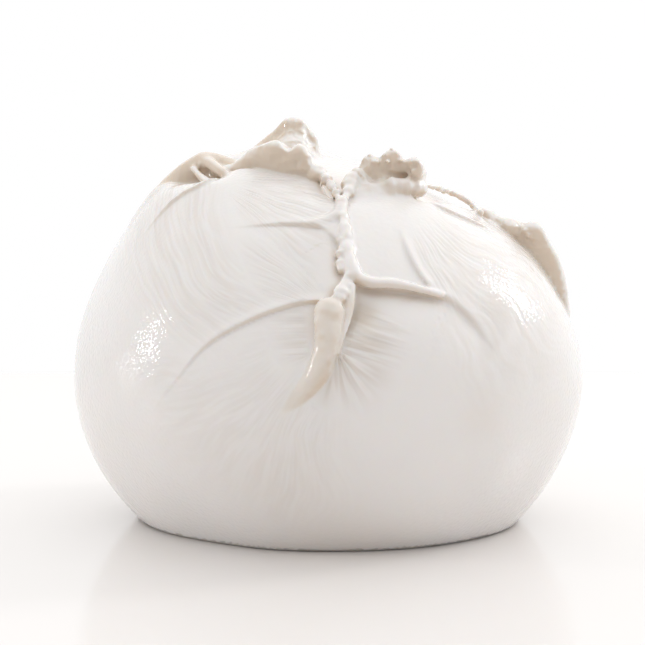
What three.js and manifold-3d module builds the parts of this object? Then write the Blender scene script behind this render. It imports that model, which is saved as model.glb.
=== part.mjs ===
// One hand-torn ball of buffalo mozzarella, standing on the flat that it has sunk onto.
// Millimetres, +Z up, the front towards -Y, the origin at the middle of the flat.
//
// The ball is worked out from its heart outwards: skinGap(p) is how far a point stands off the
// cheese, and every vertex of a finely split icosahedron moves out to where that gap is nought.

import * as THREE from 'three';
import { mergeVertices } from 'three/addons/utils/BufferGeometryUtils.js';
import Module from 'manifold-3d';

// ---- driving sizes of the ball ------------------------------------------------------------

const HALF_WIDTH = 52.8;
const HALF_DEPTH = 50.6;
const WAIST_HEIGHT = 30; // where the ball is widest
const DOME_RISE = 46; // from the waist to the top of the dome
const BELLY_DROP = 45; // from the waist to where the belly would close without the flat
const PLAN_POWER = 2.1; // 2 is a true ellipse from above, more is squarer
const LEAN = 6.3; // how far the top leans to the left ...
const LEAN_RISE = 43; // ... at this height above the waist

const SHOULDER_SWELL = { x: -27, v: 70, reach: 11, height: 2.4 };
const RIGHT_SLUMP = { x: 30, v: 70, reach: 15, height: -1.4 };
const LOWER_LEFT_TUCK = { x: -44, v: 9, reach: 17, height: -2.2 };
const LOWER_RIGHT_TUCK = { x: 44, v: 12, reach: 14, height: -0.7 };
const FRONT_LEFT_TUCK = { x: -27, v: -3, reach: 12, height: -1.4 };
const UPPER_LEFT_TUCK = { x: -46, v: 50, reach: 13, height: -0.9 };

// ---- how fine the solid is ----------------------------------------------------------------

const SPLITS = 23; // 20 * (SPLITS + 1)^2 triangles before the flat is cut
const GATHERS = [ // triangles are drawn towards these sides of the heart, everywhere or nearby
  { towards: new THREE.Vector3(0, -0.66, 0.75).normalize(), pull: 0.5, nearby: Infinity },
  { towards: new THREE.Vector3(0.05, -0.9, 0.38).normalize(), pull: 0.22, nearby: 0.42 },
];
const SEARCH_OUT = 13; // mm outside and inside the plain ball where the skin is looked for
const SEARCH_IN = 5;
const SEARCH_STEP = 0.8;

// ---- places on the front ------------------------------------------------------------------
// A place on the front is written as it is seen: x to the right and v up, in millimetres, on the
// upright plane through the middle of the ball, from an eye in front of it and a little above.

const EYE = new THREE.Vector3(-1.05, -401, 78);
const EYE_PITCH = THREE.MathUtils.degToRad(5.35);
const EYE_REACH = 406.5; // from the eye to that plane
const SIGHT_CENTRE = { x: -1.05, v: 40.2 };
const AHEAD = new THREE.Vector3(0, Math.cos(EYE_PITCH), -Math.sin(EYE_PITCH));
const UPRIGHT = new THREE.Vector3(0, Math.sin(EYE_PITCH), Math.cos(EYE_PITCH));

function sightLine(x, v) {
  return AHEAD.clone().multiplyScalar(EYE_REACH)
    .add(new THREE.Vector3(x - SIGHT_CENTRE.x, 0, 0))
    .addScaledVector(UPRIGHT, v - SIGHT_CENTRE.v);
}

// The point seen at (x, v) that lies y millimetres behind the middle of the ball.
function atDepth([x, v], y) {
  const line = sightLine(x, v);
  return EYE.clone().addScaledVector(line, (y - EYE.y) / line.y);
}

// The point seen at (x, v) on the plain ball, or the nearest to it past the ball's edge.
function onSkin([x, v]) {
  let nearest = null;
  let nearestGap = Infinity;
  for (let y = -HALF_DEPTH - 4; y < 25; y += 0.25) {
    const point = atDepth([x, v], y);
    const gap = ballGap(point);
    if (gap < nearestGap) {
      nearest = point;
      nearestGap = gap;
    }
    if (gap <= 0) break;
  }
  return nearest;
}

const seen = (...places) => places.map(onSkin);
const seenAtDepth = (y, ...places) => places.map((place) => atDepth(place, y));

// ---- places on the sides and the back -----------------------------------------------------
// These are written as a bearing round the ball, 0 at the front, 90 at the right and 180 at the
// back, and a tilt above the level of the heart, both in degrees.

const HEART = new THREE.Vector3(-1, 0, WAIST_HEIGHT);

// How far out from the heart a gap closes, between two reaches on one line.
function closesAt(gap, direction, inner, outer, halvings) {
  const point = new THREE.Vector3();
  for (let i = 0; i < halvings; i += 1) {
    const middle = (inner + outer) / 2;
    if (gap(point.copy(HEART).addScaledVector(direction, middle)) > 0) outer = middle;
    else inner = middle;
  }
  return inner;
}

function fromHeart([bearing, tilt]) {
  const polar = Math.PI / 2 - THREE.MathUtils.degToRad(tilt);
  const turn = THREE.MathUtils.degToRad(bearing);
  const direction = new THREE.Vector3(
    Math.sin(polar) * Math.sin(turn), -Math.sin(polar) * Math.cos(turn), Math.cos(polar));
  const reach = closesAt(ballGap, direction, 0, 2 * HALF_WIDTH, 24);
  return HEART.clone().addScaledVector(direction, reach);
}

const around = (...turns) => turns.map(fromHeart);

// The point of the plain ball straight above (x, y).
function fromAbove([x, y]) {
  let low = WAIST_HEIGHT;
  let high = WAIST_HEIGHT + 2 * DOME_RISE;
  for (let i = 0; i < 24; i += 1) {
    const middle = (low + high) / 2;
    if (ballGap(new THREE.Vector3(x, y, middle)) > 0) high = middle;
    else low = middle;
  }
  return new THREE.Vector3(x, y, low);
}

const above = (...spots) => spots.map(fromAbove);

// ---- the plain ball -----------------------------------------------------------------------

function ballGap(p) {
  const rise = p.z - WAIST_HEIGHT;
  const reach = rise > 0 ? DOME_RISE : BELLY_DROP;
  const lean = rise > 0 ? -LEAN * (rise / LEAN_RISE) ** 2 : 0;
  const across = (p.x - lean) / HALF_WIDTH;
  const back = p.y / HALF_DEPTH;
  const up = rise / reach;
  const plan = (Math.abs(across) ** PLAN_POWER + Math.abs(back) ** PLAN_POWER) ** (2 / PLAN_POWER);
  const size = Math.sqrt(plan + up * up);
  const slope = Math.hypot(across / HALF_WIDTH, back / HALF_DEPTH, up / reach);
  return size * (size - 1) / Math.max(slope, 1e-6);
}

function ballNormal(p) {
  const step = 0.05;
  const slope = (dx, dy, dz) =>
    ballGap(new THREE.Vector3(p.x + dx, p.y + dy, p.z + dz)) -
    ballGap(new THREE.Vector3(p.x - dx, p.y - dy, p.z - dz));
  return new THREE.Vector3(slope(step, 0, 0), slope(0, step, 0), slope(0, 0, step)).normalize();
}

// ---- small helpers ------------------------------------------------------------------------

function smoothStep(low, high, value) {
  const t = THREE.MathUtils.clamp((value - low) / (high - low), 0, 1);
  return t * t * (3 - 2 * t);
}

// A rounded join of two gaps, blended over `soft` millimetres.
function join(a, b, soft) {
  const t = Math.max(soft - Math.abs(a - b), 0) / soft;
  return Math.min(a, b) - t * t * soft / 4;
}

// Repeatable rough noise from -1 to 1 for torn edges.
function cornerNoise(i, j, k) {
  const wave = Math.sin(i * 127.1 + j * 311.7 + k * 74.7) * 43758.5453;
  return 2 * (wave - Math.floor(wave)) - 1;
}

function roughness(p, grain) {
  const [x, y, z] = [p.x / grain, p.y / grain, p.z / grain];
  const [i, j, k] = [Math.floor(x), Math.floor(y), Math.floor(z)];
  const [u, v, w] = [smoothStep(0, 1, x - i), smoothStep(0, 1, y - j), smoothStep(0, 1, z - k)];
  let sum = 0;
  for (const [a, b, c] of [[0, 0, 0], [1, 0, 0], [0, 1, 0], [1, 1, 0],
    [0, 0, 1], [1, 0, 1], [0, 1, 1], [1, 1, 1]]) {
    const share = (a ? u : 1 - u) * (b ? v : 1 - v) * (c ? w : 1 - w);
    sum += share * cornerNoise(i + a, j + b, k + c);
  }
  return sum;
}

// ---- trails: lines that run over the skin -------------------------------------------------

const TRAIL_STEP = 1.6;

function makeTrail(knots, lift = 0) {
  const curve = new THREE.CatmullRomCurve3(knots);
  const steps = Math.max(2, Math.round(curve.getLength() / TRAIL_STEP));
  const points = curve.getSpacedPoints(steps);
  const normals = points.map(ballNormal);
  points.forEach((point, i) => point.addScaledVector(normals[i], lift));
  const middle = new THREE.Box3().setFromPoints(points).getBoundingSphere(new THREE.Sphere());
  return { points, normals, middle };
}

// The nearest place on a trail: its distance, how far along it is, and which side p lies on.
function nearestOn(trail, p) {
  let best = { distance: Infinity, along: 0, side: 0 };
  const segment = new THREE.Vector3();
  const offset = new THREE.Vector3();
  const last = trail.points.length - 1;
  for (let i = 0; i < last; i += 1) {
    segment.subVectors(trail.points[i + 1], trail.points[i]);
    offset.subVectors(p, trail.points[i]);
    const t = THREE.MathUtils.clamp(offset.dot(segment) / segment.lengthSq(), 0, 1);
    offset.addScaledVector(segment, -t);
    const distance = offset.length();
    if (distance < best.distance) {
      const left = trail.normals[i].clone().cross(segment).normalize();
      const flat = offset.clone().addScaledVector(trail.normals[i], -offset.dot(trail.normals[i]));
      const side = Math.sign(offset.dot(left)) * flat.length();
      best = { distance, along: (i + t) / last, side };
    }
  }
  return best;
}

function isFar(trail, p, reach) {
  return p.distanceTo(trail.middle.center) > trail.middle.radius + reach;
}

// ---- folds: the skin stands high to the left of the trail and drops to its right ----------

const FOLD_REACH = 16;

const FOLDS = [
  { // the long ridge that runs out to the left
    knots: seen([-35, 24], [-31.1, 28.7], [-25.4, 35.4], [-17, 40.7], [-7.3, 43.9], [-2.2, 44.5]),
    drop: 1.9, recover: 5, lip: 0.6, lipWidth: 1.2, fadeIn: 0.35, fadeOut: 0.08,
  },
  { // the right branch, over the deep pocket
    knots: seen([5.2, 49.4], [13.4, 48.2], [18.9, 47.3], [24.8, 45.6], [27.5, 43.7], [30.1, 41.1],
      [31.8, 34.4], [34.3, 30.2]),
    drop: 2.8, recover: 6, lip: 0.5, lipWidth: 1.2, fadeIn: 0.04, fadeOut: 0.45,
  },
  { // the lower edge of the upper left lobe
    knots: seen([-22, 60.2], [-17, 60.5], [-7.3, 61], [-2.2, 60.5], [0.5, 59.3], [2, 57], [2.8, 54],
      [3.1, 50.6]),
    drop: 1.8, recover: 4.5, lip: 0.5, lipWidth: 1.2, fadeIn: 0.35, fadeOut: 0.15,
  },
  { // the short crease down the upper right lobe
    knots: seen([14.7, 61.4], [16.1, 57.6], [18, 53], [20.1, 49.6], [22, 47.3]),
    drop: 0.8, recover: 4, lip: 0.4, lipWidth: 1.2, fadeIn: 0.4, fadeOut: 0.1,
  },
  { // the edge of the front skin below the left shoulder
    knots: seen([-23.3, 70.9], [-25.4, 68.6], [-29.4, 66.5], [-35.3, 62.7], [-41.2, 57.6]),
    drop: -1.4, recover: 4, lip: 0.5, lipWidth: 1.2, fadeIn: 0.1, fadeOut: 0.5,
  },
  { // the long tear over the top: the front skin ends here, and the curd behind lies lower
    knots: [...around([98, 8], [96, 22], [94, 36]), ...above([31, -4], [24, -15], [19, -21],
      [12, -23], [5, -24], [1.5, -27], [-2, -21], [-8, -19], [-14, -18], [-19, -17], [-27, -13],
      [-34, -7], [-39, 0])],
    drop: 2.8, recover: 11, lip: 0.5, lipWidth: 1.6, fadeIn: 0.2, fadeOut: 0.2,
  },
  { // the scar that runs on from the back peak down the back
    knots: [...above([-8, 2], [-10, 12]), ...around([186, 52], [176, 36], [168, 20], [158, 6])],
    drop: 2.4, recover: 8, lip: 0.7, lipWidth: 2.2, fadeIn: 0.1, fadeOut: 0.5,
  },
  { // its two branches, round the back left and the back right
    knots: around([190, 60], [206, 46], [226, 30], [244, 12]),
    drop: 2, recover: 8, lip: 0.5, lipWidth: 2.2, fadeIn: 0.15, fadeOut: 0.5,
  },
  {
    knots: around([116, 12], [128, 28], [146, 42], [176, 50]),
    drop: 1.8, recover: 8, lip: 0.5, lipWidth: 2.2, fadeIn: 0.5, fadeOut: 0.15,
  },
];

const foldTrails = FOLDS.map((fold) => makeTrail(fold.knots));

function foldHeight(p) {
  let height = 0;
  FOLDS.forEach((fold, i) => {
    if (isFar(foldTrails[i], p, FOLD_REACH)) return;
    const { along, side } = nearestOn(foldTrails[i], p);
    const taper = smoothStep(0, fold.fadeIn, along) * (1 - smoothStep(1 - fold.fadeOut, 1, along));
    const lip = fold.lip * Math.exp(-((side / fold.lipWidth) ** 2));
    const low = 0.5 * (1 - Math.tanh(side / 0.8)) * Math.exp(Math.min(side, 0) / fold.recover);
    height += taper * (lip - fold.drop * low);
  });
  return height;
}

// ---- swells and dents: soft rises and hollows of the skin ---------------------------------

const SWELLS = [
  SHOULDER_SWELL,
  RIGHT_SLUMP,
  LOWER_LEFT_TUCK,
  LOWER_RIGHT_TUCK,
  FRONT_LEFT_TUCK,
  UPPER_LEFT_TUCK,
  { x: -28.5, v: 71.5, reach: 4.6, height: -3.2 }, // the torn hollow in the left shoulder
  { x: 6.5, v: 41.5, reach: 5.2, height: -2.2 }, // the pocket right of the finger
  { x: 2.4, v: 35.2, reach: 3, height: -1.6 }, // the pinch where the pleats meet
  { x: -6.5, v: 38.5, reach: 5, height: -0.8 }, // the soft hollow left of the finger
  { x: 1.5, v: 69, reach: 4.5, height: -2 }, // the notch between the two torn crests
  { x: 33, v: 37, reach: 6, height: -0.7 }, // the shallow valley past the right branch
].map((swell) => ({ ...swell, at: onSkin([swell.x, swell.v]) }));

function swellHeight(p) {
  let height = 0;
  for (const swell of SWELLS) {
    const away = p.distanceTo(swell.at) / swell.reach;
    if (away < 3) height += swell.height * Math.exp(-away * away);
  }
  return height;
}

// ---- pleats: fine folds that fan out to the right of the pinch ----------------------------

const PINCH = onSkin([2.2, 34.8]);
const PLEATS = { count: 15, height: 0.45, from: 2.5, to: 15, top: 0.95, bottom: -2.35 };

function pleatHeight(p) {
  const across = p.x - PINCH.x;
  const up = p.z - PINCH.z;
  const away = Math.hypot(across, up, (p.y - PINCH.y) / 2);
  if (away > PLEATS.to + 4) return 0;
  const bearing = Math.atan2(up, across);
  const fan = smoothStep(PLEATS.bottom, PLEATS.bottom + 0.5, bearing) *
    (1 - smoothStep(PLEATS.top - 0.3, PLEATS.top, bearing));
  const reach = smoothStep(0, PLEATS.from, away) * (1 - smoothStep(PLEATS.to / 2, PLEATS.to, away));
  return PLEATS.height * fan * reach * Math.cos(PLEATS.count * bearing);
}

// ---- cords of curd: the beaded seam, its branches and the drooping finger ------------------

const CORDS = [
  { // the seam, a rope of beads that runs down from the torn top
    knots: seen([3.1, 65.6], [3.5, 62.9], [3.7, 60.5], [4.5, 56.1], [5.2, 52.1], [6.3, 49.7]),
    lift: 0.7, start: 1.5, end: 1.4, beads: 9, bead: 0.25,
  },
  { // its right branch
    knots: seen([5.8, 50], [9, 48.9], [13.4, 48.3], [18.9, 47.5], [24, 46]),
    lift: 0.5, start: 1.2, end: 0.6, beads: 3, bead: 0.1,
  },
  { // the knuckle at the fork
    knots: seen([3.7, 50.2], [3.2, 48], [3.9, 44.9]),
    lift: 1, start: 1.6, end: 1.6, beads: 2, bead: 0.15,
  },
  { // the drooping finger
    knots: seen([0.1, 43.2], [-0.1, 40.7], [-0.1, 36], [-0.8, 32.6], [-3.9, 27.8], [-9, 23.4]),
    lift: 1.2, start: 2.9, end: 0.5, beads: 0, bead: 0,
  },
  { // the thin strip along the finger's right side
    knots: seen([4.3, 44.9], [4.1, 42.4], [3.3, 39.7], [2, 35.6]),
    lift: 0.9, start: 1.1, end: 0.7, beads: 0, bead: 0,
  },
  { // the thin web from the seam to the upper left lobe
    knots: seen([-6, 61.2], [-2, 61.6], [1.8, 63.1], [2.8, 65]),
    lift: 0.3, start: 0.6, end: 1.1, beads: 0, bead: 0,
  },
  { // beads up the left edge of the right crest
    knots: seen([3.6, 65.4], [4.1, 67.1], [5.2, 70], [7.1, 72.4]),
    lift: 0.8, start: 1.3, end: 1.9, beads: 5, bead: 0.25,
  },
  { // crumbs down the right edge of the left crest
    knots: seen([-1.4, 71.6], [0.3, 70.3], [1.8, 68], [3.1, 65.6]),
    lift: 0.5, start: 1.4, end: 1, beads: 5, bead: 0.3,
  },
  { // the ragged ridge from the right crest to the far right flap
    knots: seen([20, 68.6], [22.9, 67.8], [26.3, 65.9], [29, 64.8], [31.6, 63]),
    lift: 0, start: 1.2, end: 1.4, beads: 4, bead: 0.25,
  },
  { // two ridges of pulled curd that run back from the peak
    knots: above([-8, -2], [-9, 5], [-12, 13], [-17, 22]),
    lift: 0.4, start: 3.4, end: 0.8, beads: 1.5, bead: 0.1,
  },
  {
    knots: above([-5, -1], [-1, 6], [6, 15]),
    lift: 0, start: 2.8, end: 0.4, beads: 0, bead: 0,
  },
  { // the crest of the left shoulder
    knots: seenAtDepth(-9, [-38.5, 62.5], [-34.3, 67], [-30.5, 71.2], [-26.6, 74.3],
      [-22.8, 73.2], [-19.4, 71.6]),
    lift: 0, start: 2.4, end: 1.8, beads: 0, bead: 0,
  },
];

const CORD_REACH = 6;
const CORD_SOFT = 1.1;
const cordTrails = CORDS.map((cord) => makeTrail(cord.knots, cord.lift));

function addCords(gap, p) {
  CORDS.forEach((cord, i) => {
    if (isFar(cordTrails[i], p, CORD_REACH)) return;
    const { distance, along } = nearestOn(cordTrails[i], p);
    const swell = 1 + cord.bead * Math.cos(2 * Math.PI * cord.beads * along);
    const radius = THREE.MathUtils.lerp(cord.start, cord.end, along) * swell;
    gap = join(gap, distance - radius, CORD_SOFT);
  });
  return gap;
}

// ---- torn crests: walls of ragged ribs that stand from a foot line to a rim line ------------

const CRESTS = [
  { // the back peak, the highest point
    foot: [[-22.3, 72.6], [-15, 73], [-9, 73.2], [-2, 73]], footDepth: -4,
    rim: [[-21.2, 73.9], [-17.2, 75], [-13, 77.6], [-10.6, 79.2], [-8.1, 81.6], [-6, 82],
      [-4.4, 80], [-3.2, 77.8], [-2.4, 75.2]], rimDepth: -3,
    footRadius: 3.6, rimRadius: 1.8, ribs: 13, rough: 0.5,
  },
  { // the front crest below it
    foot: [[-19.2, 72.4], [-13.8, 71.8], [-7.9, 71.2], [-4.7, 70.9], [-1.9, 71.2]], footDepth: -20,
    rim: [[-19.6, 72.8], [-16.4, 74.2], [-13.9, 75.7], [-10, 76.2], [-8.2, 73.8], [-6.4, 75.4],
      [-5, 75.6], [-4.2, 73], [-2.2, 72.2]], rimDepth: -20.5,
    footRadius: 2.2, rimRadius: 1.8, ribs: 12, rough: 0.6,
  },
  { // the right crest
    foot: [[5.4, 70], [9, 71], [13, 70.8], [17, 70.8], [19, 70.6]], footDepth: -23,
    rim: [[5.2, 70], [7, 72], [9.2, 73.8], [11.6, 73.9], [13.4, 75.2], [15.2, 73.4],
      [17.8, 73.6], [19.4, 72]], rimDepth: -25,
    footRadius: 2.4, rimRadius: 1.8, ribs: 11, rough: 0.6,
  },
  { // the far right flap, torn loose behind the edge of the front skin
    foot: [[31.4, 63], [36.8, 57.8], [42.3, 52.6], [46.5, 49], [49, 44.6], [49.6, 40]],
    footDepth: 5,
    rim: [[31.8, 63.4], [36.2, 61], [39.4, 59.4], [43, 59.2], [45.2, 56.6], [47, 54],
      [48.6, 51], [49.6, 47.6], [50.2, 44], [50.8, 40]], rimDepth: 4,
    footRadius: 3.2, rimRadius: 1.7, ribs: 15, rough: 0.5,
  },
];

const CREST_SOFT = 2;
const CREST_GRAIN = 2.6;

function makeCrest(crest) {
  const along = (places, depth) =>
    new THREE.CatmullRomCurve3(places.map((place) => atDepth(place, depth)));
  const foot = along(crest.foot, crest.footDepth);
  const rim = along(crest.rim, crest.rimDepth);
  const ribs = [];
  for (let i = 0; i < crest.ribs; i += 1) {
    const t = i / (crest.ribs - 1);
    ribs.push({ foot: foot.getPoint(t), rim: rim.getPoint(t) });
  }
  const ends = ribs.flatMap((rib) => [rib.foot, rib.rim]);
  const middle = new THREE.Box3().setFromPoints(ends).getBoundingSphere(new THREE.Sphere());
  return { ...crest, ribs, middle };
}

const crests = CRESTS.map(makeCrest);

function addCrests(gap, p) {
  const offset = new THREE.Vector3();
  const length = new THREE.Vector3();
  for (const crest of crests) {
    if (isFar(crest, p, CORD_REACH)) continue;
    let wall = Infinity;
    for (const rib of crest.ribs) {
      length.subVectors(rib.rim, rib.foot);
      offset.subVectors(p, rib.foot);
      const t = THREE.MathUtils.clamp(offset.dot(length) / length.lengthSq(), 0, 1);
      const radius = THREE.MathUtils.lerp(crest.footRadius, crest.rimRadius, t);
      wall = join(wall, offset.addScaledVector(length, -t).length() - radius, 0.8);
    }
    gap = join(gap, wall + crest.rough * roughness(p, CREST_GRAIN), CREST_SOFT);
  }
  return gap;
}

// ---- the whole skin -----------------------------------------------------------------------

function skinGap(p) {
  const skin = ballGap(p) - foldHeight(p) - swellHeight(p) - pleatHeight(p);
  return addCrests(addCords(skin, p), p);
}

// How far out from the heart the skin lies in one direction, past any hollow behind a crest.
function skinReach(direction) {
  const plain = closesAt(ballGap, direction, 0, 2 * HALF_WIDTH, 24);
  const point = new THREE.Vector3();
  for (let reach = plain + SEARCH_OUT; reach > plain - SEARCH_IN; reach -= SEARCH_STEP) {
    if (skinGap(point.copy(HEART).addScaledVector(direction, reach)) <= 0) {
      return closesAt(skinGap, direction, reach, reach + SEARCH_STEP, 9);
    }
  }
  return plain - SEARCH_IN;
}

function makeBall() {
  const geometry = new THREE.IcosahedronGeometry(1, SPLITS);
  geometry.deleteAttribute('normal');
  geometry.deleteAttribute('uv');
  const merged = mergeVertices(geometry, 1e-4);
  const position = merged.getAttribute('position');
  const direction = new THREE.Vector3();
  for (let i = 0; i < position.count; i += 1) {
    direction.fromBufferAttribute(position, i);
    GATHERS.forEach(({ towards, pull, nearby }) => {
      const away = direction.distanceTo(towards) / nearby;
      direction.addScaledVector(towards, pull * Math.exp(-away * away)).normalize();
    });
    const point = HEART.clone().addScaledVector(direction, skinReach(direction));
    position.setXYZ(i, point.x, point.y, point.z);
  }
  return merged;
}

// ---- the flat that it stands on -------------------------------------------------------------

const wasm = await Module();
wasm.setup();

function toSolid(geometry) {
  return new wasm.Manifold(new wasm.Mesh({
    numProp: 3,
    vertProperties: Float32Array.from(geometry.getAttribute('position').array),
    triVerts: Uint32Array.from(geometry.getIndex().array),
  }));
}

function toGeometry(solid) {
  const mesh = solid.getMesh();
  const geometry = new THREE.BufferGeometry();
  geometry.setAttribute('position', new THREE.BufferAttribute(mesh.vertProperties, 3));
  geometry.setIndex(new THREE.BufferAttribute(mesh.triVerts, 1));
  geometry.computeVertexNormals();
  return geometry;
}

function makeSlabBelow() {
  const slab = new THREE.BoxGeometry(4 * HALF_WIDTH, 4 * HALF_DEPTH, BELLY_DROP);
  slab.translate(0, 0, -BELLY_DROP / 2);
  slab.deleteAttribute('normal');
  slab.deleteAttribute('uv');
  return mergeVertices(slab, 1e-4);
}

const standingBall = toSolid(makeBall()).subtract(toSolid(makeSlabBelow()));

const curd = new THREE.MeshStandardMaterial({ color: 0xf1ece5, roughness: 0.28, metalness: 0 });
const mozzarella = new THREE.Mesh(toGeometry(standingBall), curd);
mozzarella.name = 'mozzarella';

const group = new THREE.Group();
group.add(mozzarella);

export default group;
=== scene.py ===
"""A hand-torn ball of buffalo mozzarella, modelled as a skin round a gap field.

The skin is where Skin.gap() is nought: a plain slumped ball, less the heights of its folds, swells
and pleats, joined with cords of curd and ragged torn crests. The field is sampled on a grid that is
fine at the front and top, meshed and thinned out, and every vertex is moved onto the skin itself.
Places are worked out in millimetres and turned to metres when the mesh is made.
"""

import math

import bpy
import numpy as np
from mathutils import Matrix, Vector


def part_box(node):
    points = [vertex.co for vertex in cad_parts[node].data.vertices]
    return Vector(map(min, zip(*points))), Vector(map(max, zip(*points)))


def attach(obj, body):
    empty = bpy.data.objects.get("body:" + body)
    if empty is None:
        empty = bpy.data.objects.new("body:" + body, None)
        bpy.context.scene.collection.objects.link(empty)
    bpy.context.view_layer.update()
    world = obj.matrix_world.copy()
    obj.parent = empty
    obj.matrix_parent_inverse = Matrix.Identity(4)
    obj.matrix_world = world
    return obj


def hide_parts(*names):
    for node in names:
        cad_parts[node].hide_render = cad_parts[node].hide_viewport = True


bl_info = {
    "name": "Hand-torn Mozzarella",
    "version": (1, 0, 0),
    "blender": (4, 5, 0),
    "location": "3D View > Sidebar > Mozzarella",
    "description": "Builds a torn ball of soft white cheese, its wet skin and a pale studio",
    "category": "Object",
}

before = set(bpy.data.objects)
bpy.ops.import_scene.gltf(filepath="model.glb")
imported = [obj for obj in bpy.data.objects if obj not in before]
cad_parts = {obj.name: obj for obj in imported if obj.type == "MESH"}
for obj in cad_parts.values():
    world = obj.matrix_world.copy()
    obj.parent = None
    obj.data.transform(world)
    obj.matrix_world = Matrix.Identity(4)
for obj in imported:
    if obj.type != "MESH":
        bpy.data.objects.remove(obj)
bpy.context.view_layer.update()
BALL_LOW, BALL_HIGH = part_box("mozzarella")

MM = 0.001  # metres in a millimetre

# ---- places on the front ---------------------------------------------------------------------
# A place on the front is written as it is seen: x to the right and v up, in millimetres, on the
# upright plane through the middle of the ball, from an eye in front of it and a little above.

EYE = np.array([-1.05, -401.0, 78.0])
EYE_PITCH = math.radians(5.35)
EYE_REACH = 406.5
SIGHT_CENTRE = (-1.05, 40.2)
AHEAD = np.array([0.0, math.cos(EYE_PITCH), -math.sin(EYE_PITCH)])
UPRIGHT = np.array([0.0, math.sin(EYE_PITCH), math.cos(EYE_PITCH)])
LENS = 107.6  # on a 36 mm sensor


def at_depth(place, y):
    """The point seen at (x, v) that lies y millimetres behind the middle of the ball."""
    line = AHEAD * EYE_REACH + UPRIGHT * (place[1] - SIGHT_CENTRE[1])
    line[0] += place[0] - SIGHT_CENTRE[0]
    return EYE + line * (y - EYE[1]) / line[1]


def spots(*places):
    """The points seen at these (x, v, depth)."""
    return np.array([at_depth(place[:2], place[2]) for place in places])


# ---- small helpers ---------------------------------------------------------------------------


def smooth_step(low, high, value):
    t = np.clip((value - low) / (high - low), 0, 1)
    return t * t * (3 - 2 * t)


def dots(a, b):
    """The dot product of each row of a with that row of b."""
    return np.einsum("ij,ij->i", a, b)


def join(a, b, soft):
    """A rounded join of two gaps, blended over `soft` millimetres."""
    t = np.maximum(soft - np.abs(a - b), 0) / soft
    return np.minimum(a, b) - t * t * soft / 4


def carve(a, b, soft):
    """Takes the inside of b out of a, with a rounded edge."""
    return -join(-a, b, soft)


def corner_noise(i, j, k, seed=0.0):
    wave = np.sin(i * 127.1 + j * 311.7 + k * 74.7 + seed * 19.19) * 43758.5453
    return 2 * (wave - np.floor(wave)) - 1


def roughness(p, grain, seed=0.0):
    """Repeatable smooth noise from -1 to 1 with lumps of the size `grain`."""
    q = p / grain
    cell = np.floor(q)
    t = q - cell
    t = t * t * (3 - 2 * t)
    total = np.zeros(len(p))
    for a in (0, 1):
        for b in (0, 1):
            for c in (0, 1):
                share = (
                    (t[:, 0] if a else 1 - t[:, 0])
                    * (t[:, 1] if b else 1 - t[:, 1])
                    * (t[:, 2] if c else 1 - t[:, 2])
                )
                corner = corner_noise(cell[:, 0] + a, cell[:, 1] + b, cell[:, 2] + c, seed)
                total += share * corner
    return total


# ---- the plain ball --------------------------------------------------------------------------

LEAN_RISE = 43.0  # the height above the waist where the lean is stated
HEART_X = -1.0  # bearings are taken round an upright line here
SIGHT_START = 4.0  # a search along a line of sight starts this far in front of the ball ...
SIGHT_END = 25.0  # ... and ends this far behind its middle ...
SIGHT_STEP = 0.1  # ... in steps of this
SEARCH_STEP = 0.05  # the step of the other searches for the ball's skin


class Ball:
    """The plain slumped ball, before anything is torn or folded."""

    def __init__(self, sizes):
        self.half_width = sizes.half_width / MM
        self.half_depth = sizes.half_depth / MM
        self.waist = sizes.waist_height / MM
        self.dome = sizes.dome_rise / MM
        self.belly = sizes.belly_drop / MM
        self.lean = sizes.lean / MM
        self.power = sizes.plan_power
        self.heart = np.array([HEART_X, 0.0, self.waist])

    def gap(self, p):
        rise = p[:, 2] - self.waist
        reach = np.where(rise > 0, self.dome, self.belly)
        lean = np.where(rise > 0, -self.lean * (rise / LEAN_RISE) ** 2, 0)
        across = (p[:, 0] - lean) / self.half_width
        back = p[:, 1] / self.half_depth
        up = rise / reach
        plan = (np.abs(across) ** self.power + np.abs(back) ** self.power) ** (2 / self.power)
        size = np.sqrt(plan + up * up)
        slope = np.sqrt(
            (across / self.half_width) ** 2 + (back / self.half_depth) ** 2 + (up / reach) ** 2
        )
        return size * (size - 1) / np.maximum(slope, 1e-6)

    def normal(self, p):
        step = 0.05
        slope = np.stack(
            [self.gap(p + step * axis) - self.gap(p - step * axis) for axis in np.eye(3)], axis=1
        )
        return slope / np.linalg.norm(slope, axis=1)[:, None]

    def seen(self, *places):
        """The points seen at these (x, v) on the ball, or the nearest past its edge."""
        found = []
        depths = np.arange(-self.half_depth - SIGHT_START, SIGHT_END, SIGHT_STEP)
        for place in places:
            line = np.array([at_depth(place, y) for y in depths])
            gaps = self.gap(line)
            inside = np.nonzero(gaps <= 0)[0]
            found.append(line[inside[0] if len(inside) else gaps.argmin()])
        return np.array(found)

    def around(self, *turns):
        """Points by bearing, 0 front, 90 right, 180 back, and tilt above the heart."""
        found = []
        reaches = np.arange(0, 2 * self.half_width, SEARCH_STEP)
        for bearing, tilt in turns:
            turn, lift = math.radians(bearing), math.radians(tilt)
            way = np.array(
                [math.cos(lift) * math.sin(turn), -math.cos(lift) * math.cos(turn), math.sin(lift)]
            )
            line = self.heart + reaches[:, None] * way
            found.append(line[np.nonzero(self.gap(line) > 0)[0][0]])
        return np.array(found)

    def above(self, *places):
        """The points of the ball straight above these (x, y)."""
        found = []
        heights = np.arange(self.waist, self.waist + 2 * self.dome, SEARCH_STEP)
        for x, y in places:
            line = np.stack([np.full(len(heights), x), np.full(len(heights), y), heights], axis=1)
            found.append(line[np.nonzero(self.gap(line) > 0)[0][0]])
        return np.array(found)


# ---- trails: lines that run over the skin ----------------------------------------------------


SPAN_POINTS = 24  # points worked out between two knots before they are spaced evenly


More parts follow.
